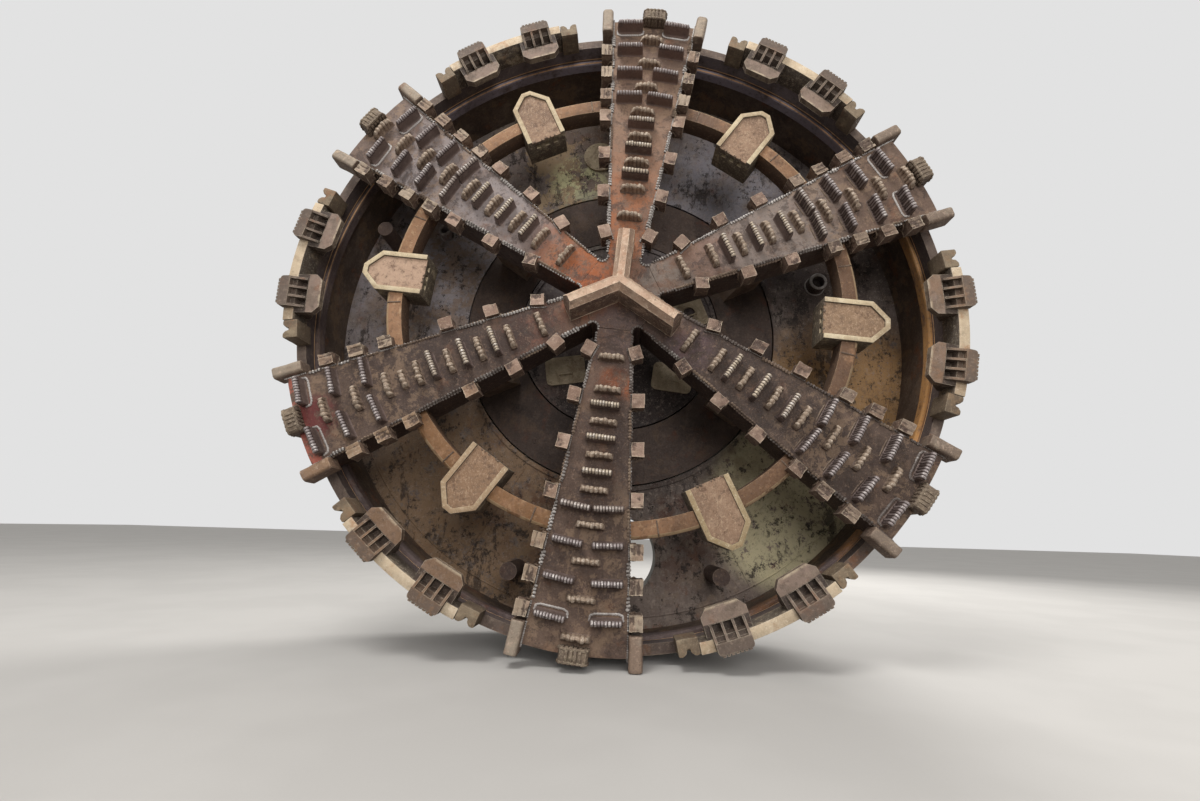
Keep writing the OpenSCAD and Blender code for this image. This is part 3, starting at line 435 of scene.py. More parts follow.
def box_extra(s):
    s.patch((188, 158, 136), -2.1, 0.6, 0.9, 0.5, s.spots(0.28, 0.46, 6, 8, 0.7, shift=(2, 3, 6)), 0.85)
    s.patch((138, 108, 82), -1.45, -1.6, 1.2, 0.7, s.spots(0.3, 0.5, 5, 8, 0.7, shift=(6, 3, 3)), 0.7)
    s.patch((140, 114, 88), 2.1, -0.3, 1.2, 0.7, s.spots(0.3, 0.5, 5, 8, 0.7, shift=(3, 6, 3)), 0.6)
    s.layer((196, 170, 142), 0.65, s.spots(0.53, 0.61, 60, 9, 0.85, stretch=(1, 1, 0.5)))
    s.layer((212, 190, 160), 0.65, s.spots(0.59, 0.65, 9, 9, 0.9, stretch=(4, 1, 0.4), shift=(3, 3, 1)))
    s.layer((92, 68, 54), 0.7, s.spots(0.53, 0.62, 10, 9, 0.75, shift=(2, 2, 2)))


def tooth_extra(s):
    """Painted shade on the ribbed flanks and in the grooves under a crest of bright ribs, creamier near the
    hub, the crest's rubbed top paler still, partly bare metal and partly a painted highlight.
    """
    rubbed_and_lit = s.attr("wear")
    rib = s.span(rubbed_and_lit, 0.5, 0.78)
    # painted shade in the grooves between the ribs and on the ribbed flanks
    s.layer((52, 42, 41), 0.85, s.span(rubbed_and_lit, 0.22, 0.32), s.span(rubbed_and_lit, 0.66, 0.5))
    s.patch((128, 104, 94), 0.1, 2.5, 1.2, 0.6, s.spots(0.34, 0.5, 7, 7, 0.7, shift=(2, 6, 1)), 0.65)
    s.layer((144, 134, 133), 0.95, rib, s.spots(0.25, 0.45, 36, 6, 0.7))
    s.layer((198, 182, 158), 0.85, rib, s.span(s.away(), 2.1, 1.6), s.spots(0.34, 0.5, 44, 7, 0.75))
    # rubbed top of the crest: partly bare metal, partly a painted highlight
    s.layer((232, 226, 220), 0.8, s.span(rubbed_and_lit, 0.8, 1.0), s.spots(0.46, 0.6, 52, 7, 0.8, shift=(3, 2, 1)))


def low_extra(s):
    """Dusty tan lumps over a brown body that is darker off the crest, speckled on the crest with pale metal
    and painted highlight, and with dark pits.
    """
    rubbed_and_lit = s.attr("wear")
    s.layer((84, 67, 58), 0.6, s.span(rubbed_and_lit, 0.3, 0.0))
    s.patch((78, 62, 53), 1.4, -1.2, 1.9, 1.2, s.spots(0.3, 0.5, 9, 7, 0.7, shift=(7, 3, 1)), 0.6)
    s.layer((164, 144, 124), 0.85, s.span(rubbed_and_lit, 0.2, 0.6), s.spots(0.3, 0.5, 30, 7, 0.7))
    # pale metal and painted highlight on the crest lumps
    s.layer((204, 189, 172), 0.85, s.span(rubbed_and_lit, 0.4, 0.9), s.spots(0.46, 0.56, 46, 8, 0.8))
    s.layer((62, 47, 40), 0.75, s.spots(0.54, 0.61, 58, 8, 0.8, shift=(1, 5, 1)))


def bead_extra(s):
    """Bright lumps with painted highlights on their tops and painted shade in the gaps between them, muddy
    on the lower right and under the left spoke.
    """
    # painted shade in the gaps between the lumps
    s.layer((34, 27, 26), 0.92, s.span(s.attr("wear"), 0.62, 0.36))
    # painted highlight on the lump tops
    s.layer((232, 228, 222), 0.8, s.span(s.attr("wear"), 0.7, 0.95), s.spots(0.45, 0.6, 60, 6, 0.8))
    mud = s.spots(0.26, 0.46, 7, 8, 0.75, shift=(2, 4, 1))
    s.patch((74, 60, 53), 1.5, -1.2, 2.1, 1.5, mud, 0.85)
    s.patch((70, 57, 50), -1.3, -1.2, 1.15, 0.75, mud, 0.85)


def collar_extra(s):
    s.patch((84, 70, 63), 2.3, -1.5, 1.6, 1.1, s.spots(0.24, 0.42, 9, 7, 0.75, shift=(2, 4, 1)), 0.85)


def frame_extra(s):
    """Brown mud on the lower boxes."""
    mud = s.spots(0.24, 0.44, 4, 9, 0.75, shift=(5, 4, 1))
    s.patch((158, 130, 102), -1.5, -1.6, 1.2, 0.8, mud, 0.8)
    s.patch((146, 124, 90), 1.0, -2.0, 1.2, 0.8, mud, 0.75)


def block_extra(s):
    """Pinkish near the hub, olive tan further out, and dark in the grooves and low on the sides, partly mud
    and partly painted shade.
    """
    s.layer((164, 149, 130), 0.85, s.span(s.away(), 1.8, 2.0), s.spots(0.25, 0.45, 5, 6, 0.6))
    s.layer((150, 138, 124), 0.8, s.span(s.away(), 2.8, 2.86),
            s.spots(0.34, 0.5, 7, 8, 0.75, shift=(5, 5, 2)))
    s.layer((204, 182, 152), 0.6, s.spots(0.54, 0.62, 16, 9, 0.85, stretch=(0.5, 1, 3), shift=(3, 0, 1)))
    s.layer((124, 98, 82), 0.65, s.spots(0.5, 0.56, 2.3, 3, 0.5, shift=(1, 4, 9)))
    s.layer((96, 76, 64), 0.6, s.span(s.away(2.0, -0.2), 2.7, 1.7),
            s.spots(0.34, 0.5, 8, 8, 0.75, shift=(8, 4, 2)))
    s.patch((146, 114, 84), -1.9, -1.9, 1.6, 0.9, s.spots(0.34, 0.5, 6, 8, 0.75, shift=(4, 8, 2)), 0.65)
    # mud and painted shade in the grooves and low on the sides
    s.layer((66, 51, 45), 0.88, s.span(s.attr("wear"), 0.6, 0.15))


def gauge_extra(s):
    """Pinkish ledge with a bright inner edge, painted shade in the pockets between the webs and on the legs
    further back.
    """
    r = s.away()
    front = s.forward()
    s.layer((143, 123, 111), 0.7, front, s.spots(0.42, 0.56, 6, 7, 0.65, shift=(1, 2, 3)),
            s.span(r, 2.9, 2.88))
    s.patch((136, 108, 84), 3.0, 0.1, 2.6, 1.4, s.spots(0.36, 0.54, 5, 9, 0.75, shift=(8, 1, 1)), 0.6)
    s.patch((126, 96, 70), -2.0, -2.1, 1.4, 0.8, s.spots(0.32, 0.5, 5, 9, 0.75, shift=(3, 1, 8)), 0.7)
    s.layer((200, 182, 156), 0.7, s.span(r, 2.775, 2.755), s.spots(0.42, 0.54, 12, 8, 0.75))
    # painted shade in the pockets between the webs
    s.layer((50, 41, 37), 0.85, s.span(r, 2.868, 2.876), s.span(r, 3.02, 3.0),
            s.span(s.depth(), -0.035, -0.005))
    s.layer((96, 84, 76), 0.7, s.span(r, 3.0, 3.03), s.spots(0.35, 0.5, 18, 7, 0.7))
    # painted shade on the legs further back
    s.layer((52, 44, 40), 0.8, s.span(s.depth(), 0.055, 0.09))


def end_extra(s):
    """Rounded end teeth: grey-brown flanks with pale rubbed lumps."""
    s.layer((96, 82, 72), 0.7, s.spots(0.44, 0.58, 9, 7, 0.7, shift=(4, 1, 1)))
    s.layer((186, 172, 150), 0.7, s.spots(0.54, 0.63, 40, 9, 0.85, shift=(1, 6, 6)))


MUDDY = steel("muddy_steel", (108, 87, 74), (76, 60, 53), (134, 112, 96), edge=(164, 146, 128),
              mud=(124, 102, 82), rust=(136, 90, 62), extra=spoke_extra)
RUSTY = steel("rusty_steel", (110, 88, 74), (76, 58, 50), (136, 110, 92), edge=(164, 146, 128),
              mud=(122, 98, 80), rust=(142, 88, 58), extra=spoke_extra)
LEG = steel("leg_steel", (128, 110, 96), (88, 72, 64), (150, 132, 116), edge=(146, 128, 108),
            mud=(112, 92, 74), rust=(112, 74, 52), extra=leg_extra)
RING = steel("ring_steel", (122, 92, 70), (84, 62, 48), (150, 120, 92), edge=(206, 182, 146),
             mud=(110, 88, 68), rust=(142, 92, 60), extra=ring_extra, sides=(84, 66, 54))
RIM = steel("worn_rim", (108, 93, 84), (72, 59, 54), (138, 122, 108), edge=(178, 160, 136),
            rust=(122, 82, 56), extra=rim_extra)
WEAR = steel("wear_ring", (100, 86, 84), (68, 56, 55), (128, 114, 110), mud=(118, 100, 88),
             rust=(104, 68, 52), extra=wear_extra)
BAND = steel("pale_rim", (206, 186, 158), (158, 134, 108), (228, 214, 192), edge=(234, 224, 206),
             rust=(168, 122, 86), streaks=0.3, sides=(66, 57, 53), side_shade_amount=0.9, mottle=0.4)
BARE = steel("bare_block", (119, 103, 91), (82, 68, 59), (146, 129, 114), edge=(192, 180, 160),
             rust=(140, 102, 80), extra=gauge_extra, sides=(92, 78, 68), side_shade_amount=0.6)
STUMP = steel("end_block", (130, 114, 94), (92, 77, 64), (160, 144, 120), edge=(196, 184, 160),
              mud=(138, 114, 88), rust=(140, 102, 74), sides=(90, 76, 64), side_shade_amount=0.6)
PALE = steel("pale_frame", (202, 184, 152), (160, 138, 110), (222, 208, 180), edge=(228, 216, 192),
             streaks=0.2, extra=frame_extra, sides=(78, 66, 58), side_shade_amount=0.9, mottle=0.4)
PLATE = steel("box_plate", (148, 120, 98), (112, 88, 72), (172, 146, 122), extra=box_extra, mottle=0.7)
TAN = steel("worn_tan", (198, 166, 142), (148, 117, 97), (220, 197, 173), edge=(232, 216, 190),
            rust=(166, 112, 80), sides=(84, 66, 60), mottle=0.65)
HARD = steel("hard_tooth", (112, 96, 90), (76, 64, 60), (138, 122, 116), metallic=0.15, rough=(0.3, 0.56),
             extra=tooth_extra, streaks=0.2, mottle=0.3)
LOWT = steel("tan_tooth", (128, 108, 94), (88, 72, 63), (154, 135, 118), rough=(0.5, 0.8), extra=low_extra,
             streaks=0.2)
STOUT = steel("end_tooth", (124, 108, 92), (84, 70, 60), (152, 136, 116), edge=(196, 182, 158),
              extra=end_extra, streaks=0.2, sides=(84, 69, 60), side_shade_amount=0.7)
PINK = steel("pink_block", (166, 140, 124), (124, 99, 86), (192, 168, 150), edge=(220, 204, 180),
             extra=block_extra, streaks=0.2, sides=(100, 80, 68), side_shade_amount=0.75)
DARK = steel("dark_steel", (74, 60, 53), (48, 38, 34), (98, 82, 72), mud=(88, 70, 56), rust=(92, 56, 40))
WALL = steel("wall_steel", (122, 108, 100), (80, 68, 62), (150, 137, 126), mud=(134, 116, 100),
             rust=(126, 84, 62), extra=wall_extra)
SKIN = steel("skin_steel", (92, 78, 68), (62, 50, 44), (120, 104, 90), edge=(150, 132, 112),
             mud=(120, 98, 76), rust=(120, 76, 50))
BEIGE = steel("beige_plate", (182, 165, 138), (136, 120, 98), (202, 187, 160), edge=(214, 200, 172),
              mud=(132, 112, 92))
GREY = steel("rear_grey", (128, 124, 116), (96, 90, 84), (148, 144, 136), edge=(170, 164, 150),
             rust=(140, 92, 60), streaks=0.35)
BEAD = steel("weld_bead", (164, 157, 152), (78, 68, 64), (204, 198, 192), metallic=0.2, rough=(0.24, 0.48),
             streaks=0, extra=bead_extra, mottle=0.3)
DUSTY = steel("dusty_bead", (116, 98, 84), (70, 56, 50), (154, 136, 116), rough=(0.55, 0.8), streaks=0)
COLLAR = steel("pale_weld", (178, 172, 168), (120, 108, 102), (210, 206, 202), rough=(0.5, 0.75),
               extra=collar_extra, streaks=0)


class Form:
    """Vertices, faces and a value of each vertex for rubbing and painted light, gathered for one piece."""

    def __init__(self):
        self.v, self.f, self.w, self.n = [], [], [], 0

    def add(self, part, m=Matrix.Identity(4)):
        v, f, w = part
        rot = np.array(m.to_3x3())
        self.v.append(v @ rot.T + np.array(m.translation))
        self.f += [tuple(i + self.n for i in face) for face in f]
        self.w.append(w)
        self.n += len(v)
        return self


def piece(name, form, material, body, stands_for=()):
    """A Blender object from a form, riding on a CAD body."""
    mesh = bpy.data.meshes.new(name)
    mesh.from_pydata(np.concatenate(form.v).tolist(), [], form.f)
    wear = mesh.attributes.new("wear", "FLOAT", "POINT")
    wear.data.foreach_set("value", np.concatenate(form.w).astype(np.float32))
    mesh.materials.append(material)
    mesh.polygons.foreach_set("use_smooth", [True] * len(mesh.polygons))
    mesh.set_sharp_from_angle(angle=math.radians(38))
    mesh.update()
    ob = bpy.data.objects.new(name, mesh)
    bpy.context.scene.collection.objects.link(ob)
    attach(ob, body)
    if stands_for:
        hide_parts(*stands_for)


def arrays(bm, wear=None):
    """Vertices, faces and the value for rubbing and painted light of a bmesh, which is freed."""
    bm.verts.ensure_lookup_table()
    bm.verts.index_update()
    v = np.array([x.co[:] for x in bm.verts])
    f = [tuple(x.index for x in face.verts) for face in bm.faces]
    w = np.array([wear(x.co) for x in bm.verts]) if wear else np.ones(len(v))
    bm.free()
    return v, f, w


def prism(outline, z0, z1):
    """A straight block with the outline in x and y between two heights."""
    bm = bmesh.new()
    low = [bm.verts.new((x, y, z0)) for x, y in outline]
    top = [bm.verts.new((x, y, z1)) for x, y in outline]
    bm.faces.new(top)
    bm.faces.new(low[::-1])
    n = len(outline)
    for i in range(n):
        bm.faces.new((low[i], low[(i + 1) % n], top[(i + 1) % n], top[i]))
    return bm


def soften(bm, width, segments=2):
    """Rounds the edges where faces meet at more than 24 degrees."""
    edges = [e for e in bm.edges if len(e.link_faces) == 2 and e.calc_face_angle(0) > math.radians(24)]
    bmesh.ops.bevel(bm, geom=edges, offset=width, offset_type="OFFSET", segments=segments, profile=0.5,
                    affect="EDGES", clamp_overlap=True)


def cut_fine(bm, step):
    """Cuts all faces on planes a step apart, so that they can be roughened."""
    co = np.array([v.co[:] for v in bm.verts])
    for axis in range(3):
        normal = [0, 0, 0]
        normal[axis] = 1
        lo, hi = co[:, axis].min(), co[:, axis].max()
        n = max(1, round((hi - lo) / step))
        for k in range(1, n):
            p = [0, 0, 0]
            p[axis] = lo + (hi - lo) * k / n
            bmesh.ops.bisect_plane(bm, geom=bm.verts[:] + bm.edges[:] + bm.faces[:], plane_co=p,
                                   plane_no=normal)


def batter(bm, amount, scale, seed):
    """Pushes the vertices in a little here and there, as wear and casting do."""
    bm.normal_update()
    off = Vector((seed * 3.1, seed * 1.7, seed * 2.3))
    for v in bm.verts:
        n = noise.noise(v.co * scale + off) * 0.7 + noise.noise(v.co * scale * 3.1 + off) * 0.3
        v.co += v.normal * min(0.0, n - 0.3) * amount


def bead(path, radius, lump, pitch, seed, ref=(0, 0, 1), step=0.0055, sides=6):
    """Tube along a path; with lumps it is a run of weld metal."""
    p = np.array(path, float)
    seg = np.r_[0, np.cumsum(np.linalg.norm(np.diff(p, axis=0), axis=1))]
    n = max(3, int(seg[-1] / step))
    s = np.linspace(0, seg[-1], n)
    pts = np.stack([np.interp(s, seg, p[:, i]) for i in range(3)], 1)
    tang = np.gradient(pts, axis=0)
    tang /= np.linalg.norm(tang, axis=1)[:, None]
    up = np.array(ref, float) - tang * (tang @ np.array(ref, float))[:, None]
    up /= np.maximum(np.linalg.norm(up, axis=1), 1e-6)[:, None]
    out = np.cross(tang, up)
    k = (s / pitch).astype(int)
    size = np.random.RandomState(seed).uniform(0.7, 1.25, k.max() + 1)[k] if lump else np.ones(n)
    bulge = np.abs(np.sin(np.pi * s / pitch)) ** 0.7
    rad = radius * ((1 - lump) + lump * bulge * size)
    rad[[0, -1]] *= 0.5
    ang = np.linspace(0, 2 * np.pi, sides, endpoint=False)
    spoke = np.cos(ang)[None, :, None] * up[:, None] + np.sin(ang)[None, :, None] * out[:, None]
    v = pts[:, None] + rad[:, None, None] * spoke
    f = [(i * sides + j, i * sides + (j + 1) % sides, (i + 1) * sides + (j + 1) % sides,
          (i + 1) * sides + j) for i in range(n - 1) for j in range(sides)]
    f += [tuple(range(sides))[::-1], tuple(range((n - 1) * sides, n * sides))]
    return v.reshape(-1, 3), f, np.repeat(bulge * size, sides)


def weld(form, path, radius, lump, pitch, place, **more):
    """Adds a bead of its own random lumps to a form."""
    form.add(bead(path, radius, lump, pitch, rng.randrange(999), **more), place)


def stud(radius, height, sides, hollow=0.0):
    """Bolt head or plug on a washer, its outer edge chamfered, with a socket if hollow."""
    v, f = [], []

    def tower(levels, count, shift):
        """Rings of points at (scale, height) levels, with walls between them and a lid."""
        first = len(v)
        for scale, z in levels:
            for i in range(count):
                t = 2 * math.pi * (i + shift) / count
                v.append((radius * scale * math.cos(t), radius * scale * math.sin(t), z))
        for a in range(first, len(v) - count, count):
            f.extend((a + i, a + (i + 1) % count, a + count + (i + 1) % count, a + count + i)
                     for i in range(count))
        f.append(tuple(range(len(v) - count, len(v))))

    washer = height * 0.22
    tower([(1.45, 0.0), (1.45, washer)], 24, 0)
    head = [(1.0, washer), (1.0, height * 0.82), (0.86, height)]
    tower(head + ([(hollow, height), (hollow * 0.9, height * 0.5)] if hollow else []), sides, 0.2)
    return np.array(v), f, np.ones(len(v))


def bolt_ring(form, bolt, n, r, place, start=0):
    """Bolts on a circle in the plane of a place."""
    for k in range(n):
        t = math.radians(360 / n * k + start)
        form.add(bolt, place @ Matrix.Translation((r * math.cos(t), r * math.sin(t), 0)))


def tooth(width, thick, height, ribs, lump, corner, back, seed, flat=0.35, grit=0.0035, deep=0.0):
    """Tooth with a welded hard ridge: ribs over the top and, with deep, down the hub side's flank too."""
    r = random.Random(seed)
    t = thick / 2
    h = height
    # x, z and how much the ribs show there, from the foot on the hub side over the top to the other foot
    prof = [(-t - 0.009, 0.0, 0), (-t - 0.003, 0.006, deep * 0.5), (-t, 0.016, deep * 0.9),
            (-t, h * 0.3, deep), (-t, h * 0.55, deep), (-t, h - 0.034, max(0.35, deep)),
            (-t + 0.001, h - 0.02, 0.8), (-t + 0.007, h - 0.008, 1), (-t + 0.015, h - 0.002, 1),
            (0.0, h, 1), (t - 0.02, h - 0.003, 1), (t - 0.011, h - 0.011, 1), (t - 0.005, h - 0.022, 0.9),
            (t - back, h - 0.04, 0.5), (t, h * 0.5, 0), (t, 0.016, 0), (t + 0.003, 0.006, 0),
            (t + 0.009, 0.0, 0)]
    amp = [r.uniform(0.7, 1.15) for _ in range(ribs)]
    shift = [r.uniform(-0.12, 0.12) for _ in range(ribs)]
    steps = ribs * 6
    rows, wear = [], []
    for i in range(steps + 1):
        u = i / steps
        y = (u - 0.5) * width
        k = min(ribs - 1, int(u * ribs))
        local = u * ribs - k
        bulge = max(0.0, math.sin(math.pi * local)) ** flat * amp[k]
        over = abs(y) - (width / 2 - corner)
        drop = corner - math.sqrt(max(0.0, corner * corner - over * over)) if over > 0 else 0.0
        row, wr = [], []
        for x, z, m in prof:
            top = min(1.0, max(0.0, (z - h * 0.3) / (h * 0.7)))
            d = Vector((x, 0, max(0.0, z - (h - thick * 0.6))))
            d = d.normalized() if d.length > 1e-6 else Vector((0, 0, 1))
            p = Vector((x, y + m * shift[k] * 0.008, z - drop * top)) + d * (bulge - 0.75) * lump * m
            p += d * noise.noise(p * 28 + Vector((seed, seed * 2, 0))) * grit * (0.3 + m)
            row.append(p)
            wr.append(m * (0.35 + 0.65 * bulge) if m else 0.0)
        rows.append(row)
        wear.append(wr)
    first = [Vector((p.x * 0.72, p.y - 0.006, p.z * 0.96)) for p in rows[0]]
    last = [Vector((p.x * 0.72, p.y + 0.006, p.z * 0.96)) for p in rows[-1]]
    rows = [first] + rows + [last]
    wear = [[x * 0.5 for x in wear[0]]] + wear + [[x * 0.5 for x in wear[-1]]]
    m = len(prof)
    v = np.array([p[:] for row in rows for p in row])
    w = np.array([x for row in wear for x in row])
    f = [(i * m + j, i * m + j + 1, (i + 1) * m + j + 1, (i + 1) * m + j)
         for i in range(len(rows) - 1) for j in range(m - 1)]
    e = (len(rows) - 1) * m
    f += [tuple(range(m))[::-1], tuple(range(e, e + m))]
    return v, f, w


def tall_tooth(seed, deep=0.0):
    return tooth(*TALL, ribs=9 + seed % 2, lump=0.009, corner=0.014, back=0.002, seed=seed, deep=deep)


def low_tooth(seed, width=LOW[0], height=LOW[2]):
    return tooth(width, LOW[1], height, ribs=6 if width > 0.2 else 4, lump=0.008, corner=0.07, back=0.004,
                 seed=seed, flat=0.7, grit=0.01, deep=0.55)


def scraper(seed, ridges):
    """Side scraper block: rounded block, rubbed hard top with grooves along it, rough lower edge."""
    x = SCRAPER_LEN / 2
    bm = prism([(-x, 0), (x, 0), (x, SCRAPER_W), (-x, SCRAPER_W)], -SCRAPER_BACK, SCRAPER_FWD)
    soften(bm, 0.017, 3)
    cut_fine(bm, 0.012)
    off = Vector((seed, 0, 0))
    for v in bm.verts:
        c = v.co.copy()
        if c.z > SCRAPER_FWD - 0.02:
            groove = min([abs(c.y / SCRAPER_W - k) for k in ridges] or [1])
            chipped = noise.noise(c * 9 + off) > 0.25
            pitted = 0.005 * abs(noise.noise(c * 34 + off))
            v.co.z -= 0.013 * max(0.0, 1 - groove / 0.08) + pitted + 0.007 * chipped
        else:
            v.co.x *= 1.0 - 0.09 * abs(noise.noise(c * 19 + off))
            v.co.z += 0.016 * noise.noise(Vector((c.x, c.y, 0)) * 22 + off) * (c.z < -SCRAPER_BACK + 0.02)
    batter(bm, 0.014, 11, seed)

    def wear(c):
        """1 on the rubbed top, 0 in its grooves and low on the sides."""
        if c.z > SCRAPER_FWD - 0.024:
            return min(1.0, max(0.0, (c.z - SCRAPER_FWD + 0.014) / 0.009))
        ragged = 0.03 * noise.noise(Vector((c.x, c.y, seed)) * 30)
        return min(1.0, max(0.0, (c.z + 0.05 + ragged) / 0.08))
    return arrays(bm, wear)


def scraper_spots(in_at, in_n, out_at, out_n):
    """Radius, skew and grooves of each side scraper along a spoke."""
    return ([(in_at + i * PITCH_IN, i == 0, ()) for i in range(in_n)]
            + [(out_at + i * PITCH_OUT, False, (0.3, 0.62)) for i in range(out_n)])


def worn_copy(node, material, bevel, step, rough, seed):
    """A copy of a CAD node with rounded edges, roughened inside the node's box. It stands for the node."""
    bm = bmesh.new()
    bm.from_mesh(nodes[node].data)
    bmesh.ops.remove_doubles(bm, verts=bm.verts[:], dist=1e-5)
    bmesh.ops.dissolve_limit(bm, angle_limit=math.radians(0.6), verts=bm.verts[:], edges=bm.edges[:])
    soften(bm, bevel)
    if step:
        cut_fine(bm, step)
    bmesh.ops.recalc_face_normals(bm, faces=bm.faces[:])
    if rough:
        batter(bm, rough, 5.0, seed)
    v, f, w = arrays(bm)
    lo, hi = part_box(node)
    piece(node + "_worn", Form().add((np.clip(v, lo, hi), f, w)), material, ROTOR, (node,))


SLOT = {r["node"]: r["material_slot"] for r in frame["record"]["subparts"]}
MATERIAL = dict(muddy_steel=MUDDY, rusty_steel=RUSTY, worn_rim=RIM, pale_rim=BAND, bare_block=BARE,
                pale_frame=PALE, box_plate=PLATE, worn_tan=TAN, hard_tooth=HARD, tan_tooth=LOWT,
                pink_block=PINK, dark_steel=DARK, skin_steel=SKIN, beige_plate=BEIGE, rear_grey=GREY)
# nodes with a look of their own
OWN = dict(front_wear_ring=WEAR, bulkhead=WALL, centre_disc=WALL, bulkhead_ports=WALL, seam_rings=WALL,
           spoke_legs=LEG)
for name, ob in nodes.items():
    ob.data.materials.clear()
    ob.data.materials.append(OWN.get(name, MATERIAL[SLOT[name]]))

for k in range(1, 7):
    worn_copy("spoke_%d" % k, MUDDY, 0.006, 0.05, 0.004, k)
# node, material, rounding, how finely it is cut and how deep it is roughened
WORN = [
    ("hub_plate", RUSTY, 0.002, 0.05, 0.004),
    ("mid_ring", RING, 0.005, 0.0, 0.0),
    ("sector_boxes", PALE, 0.004, 0.0, 0.0),
    ("centre_blades", TAN, 0.009, 0.035, 0.006),
    ("gauge_blocks_a", BARE, 0.006, 0.03, 0.004),
    ("gauge_blocks_b", BARE, 0.006, 0.03, 0.004),
    ("rim_end_blocks", STUMP, 0.007, 0.05, 0.005),
    ("rim_bands", BAND, 0.005, 0.0, 0.0),
    ("gauge_scrapers", PINK, 0.012, 0.026, 0.007),
    ("edge_teeth", STOUT, 0.026, 0.02, 0.007)]
for k, row in enumerate(WORN):
    worn_copy(*row, 11 + k)

TALLS = [tall_tooth(s) for s in range(6)]
RIBBED = [tall_tooth(s, 0.66) for s in range(6, 12)]
LOWS = [low_tooth(s) for s in range(20, 26)]

for blade, tag in ((1, "p"), (0, "q")):
    tall, low, blocks = Form(), Form(), Form()
    for ang, b, in_at, in_n, out_at, out_n, small in SPOKES:
        if b != blade:
            continue
        low.add(rng.choice(LOWS), at(ang, row_r(blade, 0) - FIRST_GAP))
        for i, kind in enumerate(ROWS_P if blade else ROWS_Q):
            r = row_r(blade, i)
            tilt = rng.uniform(-1.2, 1.2)
            if i == small:
                low.add(low_tooth(77, 0.172, 0.08), at(ang, r, 0, 0, tilt))
            elif kind < 2:
                form, kinds = (tall, TALLS) if kind else (low, LOWS)
                form.add(rng.choice(kinds), at(ang, r, rng.uniform(-0.004, 0.004), 0, tilt))
            else:
                kinds = RIBBED if ang in RIBBED_SPOKES else TALLS
                for m in (-1, 1):
                    tall.add(rng.choice(kinds), at(ang, r, m * pair_y(r), 0, m * SPLAY + tilt * 0.5))
        for r, skew, ridges in scraper_spots(in_at, in_n, out_at, out_n):
            for side in (-1, 1):
                lap = LAP if skew else 0.0
                place = at(ang, r, side * half_w(r), 0, side * (SPLAY + (SKEW if skew else 0)))
                shift = Matrix.Translation((0, -lap if side > 0 else lap - SCRAPER_W, 0))
                blocks.add(scraper(rng.randrange(1000), ridges), place @ shift)
    piece("tall_teeth_%s_ribbed" % tag, tall, HARD, ROTOR, ("tall_teeth_" + tag,))
    piece("low_teeth_%s_lumpy" % tag, low, LOWT, ROTOR, ("low_teeth_" + tag,))
    piece("scrapers_%s_worn" % tag, blocks, PINK, ROTOR,
          ("scrapers_" + tag, "scraper_tips_" + tag))

# beads along the spokes' edges, round the scrapers, the teeth, the notches of the hub and the mid ring
silver, dusty = Form(), Form()
for ang, blade, in_at, in_n, out_at, out_n, small in SPOKES:
    spots = scraper_spots(in_at, in_n, out_at, out_n)
    taken = sorted([(r - 0.066, r + 0.066) for r, skew, ridges in spots] + [END_SCRAPER])
    for side in (-1, 1):
        a = HUB_R + 0.115
        for lo, hi in taken:
            if lo - a > 0.03:
                big = rng.uniform(0.75, 1.3)
                for dy, dz, radius in ((-0.011, 0.003, 0.015), (0.001, -0.014, 0.014)):
                    start, stop = a + rng.uniform(0, 0.02), lo - rng.uniform(0, 0.02)
                    path = [(x, side * (half_w(x) + dy) + rng.uniform(-0.003, 0.003), dz)
                            for x in np.linspace(start, stop, 6)]
                    weld(silver if rng.random() < 0.7 else dusty, path, radius * big, 0.8, 0.028, at(ang))
            a = max(a, hi)
        for r, skew, ridges in spots:
            y = side * (half_w(r) - (LAP if skew else 0.0))
            run = [(x, -side * 0.004, 0.004) for x in (-0.07, 0.07)]
            weld(silver, run, 0.009, 0.6, 0.017, at(ang, r, y, 0, side * (SPLAY + (SKEW if skew else 0))))
            for end in (-1, 1):
                x = end * (SCRAPER_LEN / 2 + 0.002)
                bits = ((-0.004, -0.03), (0.03, -0.034), (0.05, -0.075), (0.03, -0.1))
                run = [(x, side * dy, dz) for dy, dz in bits]
                weld(dusty, run, 0.008, 0.6, 0.018, at(ang, r, y, 0, side * SPLAY), ref=(1, 0, 0))
    for m in (-1, 1):
        run = [(x + dx, m * half_w(x) - m * dy, 0.004)
               for x, dx, dy in ((END_SCRAPER[0], -0.004, 0.005), (SPOKE_END_R, -0.01, 0.006))]
        weld(silver, run, 0.009, 0.6, 0.017, at(ang))
collars = Form()
h = TALL[0] / 2 + 0.012
collar = [(0.0, -h), (-0.046, -h + 0.006), (-0.058, -h * 0.7), (-0.06, h * 0.7), (-0.046, h - 0.006),
          (0.0, h)]
foot = [(-0.046, -0.095), (-0.049, 0.0), (-0.046, 0.07)]
for spoke in SPOKES:
    ang, blade = spoke[:2]
    r = row_r(blade, LAST_PAIR)
    for m in (-1, 1):
        weld(collars, [(x, y, 0.002) for x, y in collar], 0.011, 0.35, 0.024,
             at(ang, r, m * pair_y(r), 0, m * SPLAY))
    if ang in RIBBED_SPOKES:
        for r in [row_r(blade, i) for i in range(FIRST_PAIR, LAST_PAIR, 2)]:
            for m in (-1, 1):
                weld(dusty, [(x, y, 0.001) for x, y in foot], 0.007, 0.4, 0.02,
                     at(ang, r, m * pair_y(r), 0, m * SPLAY))
piece("tooth_collars", collars, COLLAR, ROTOR)
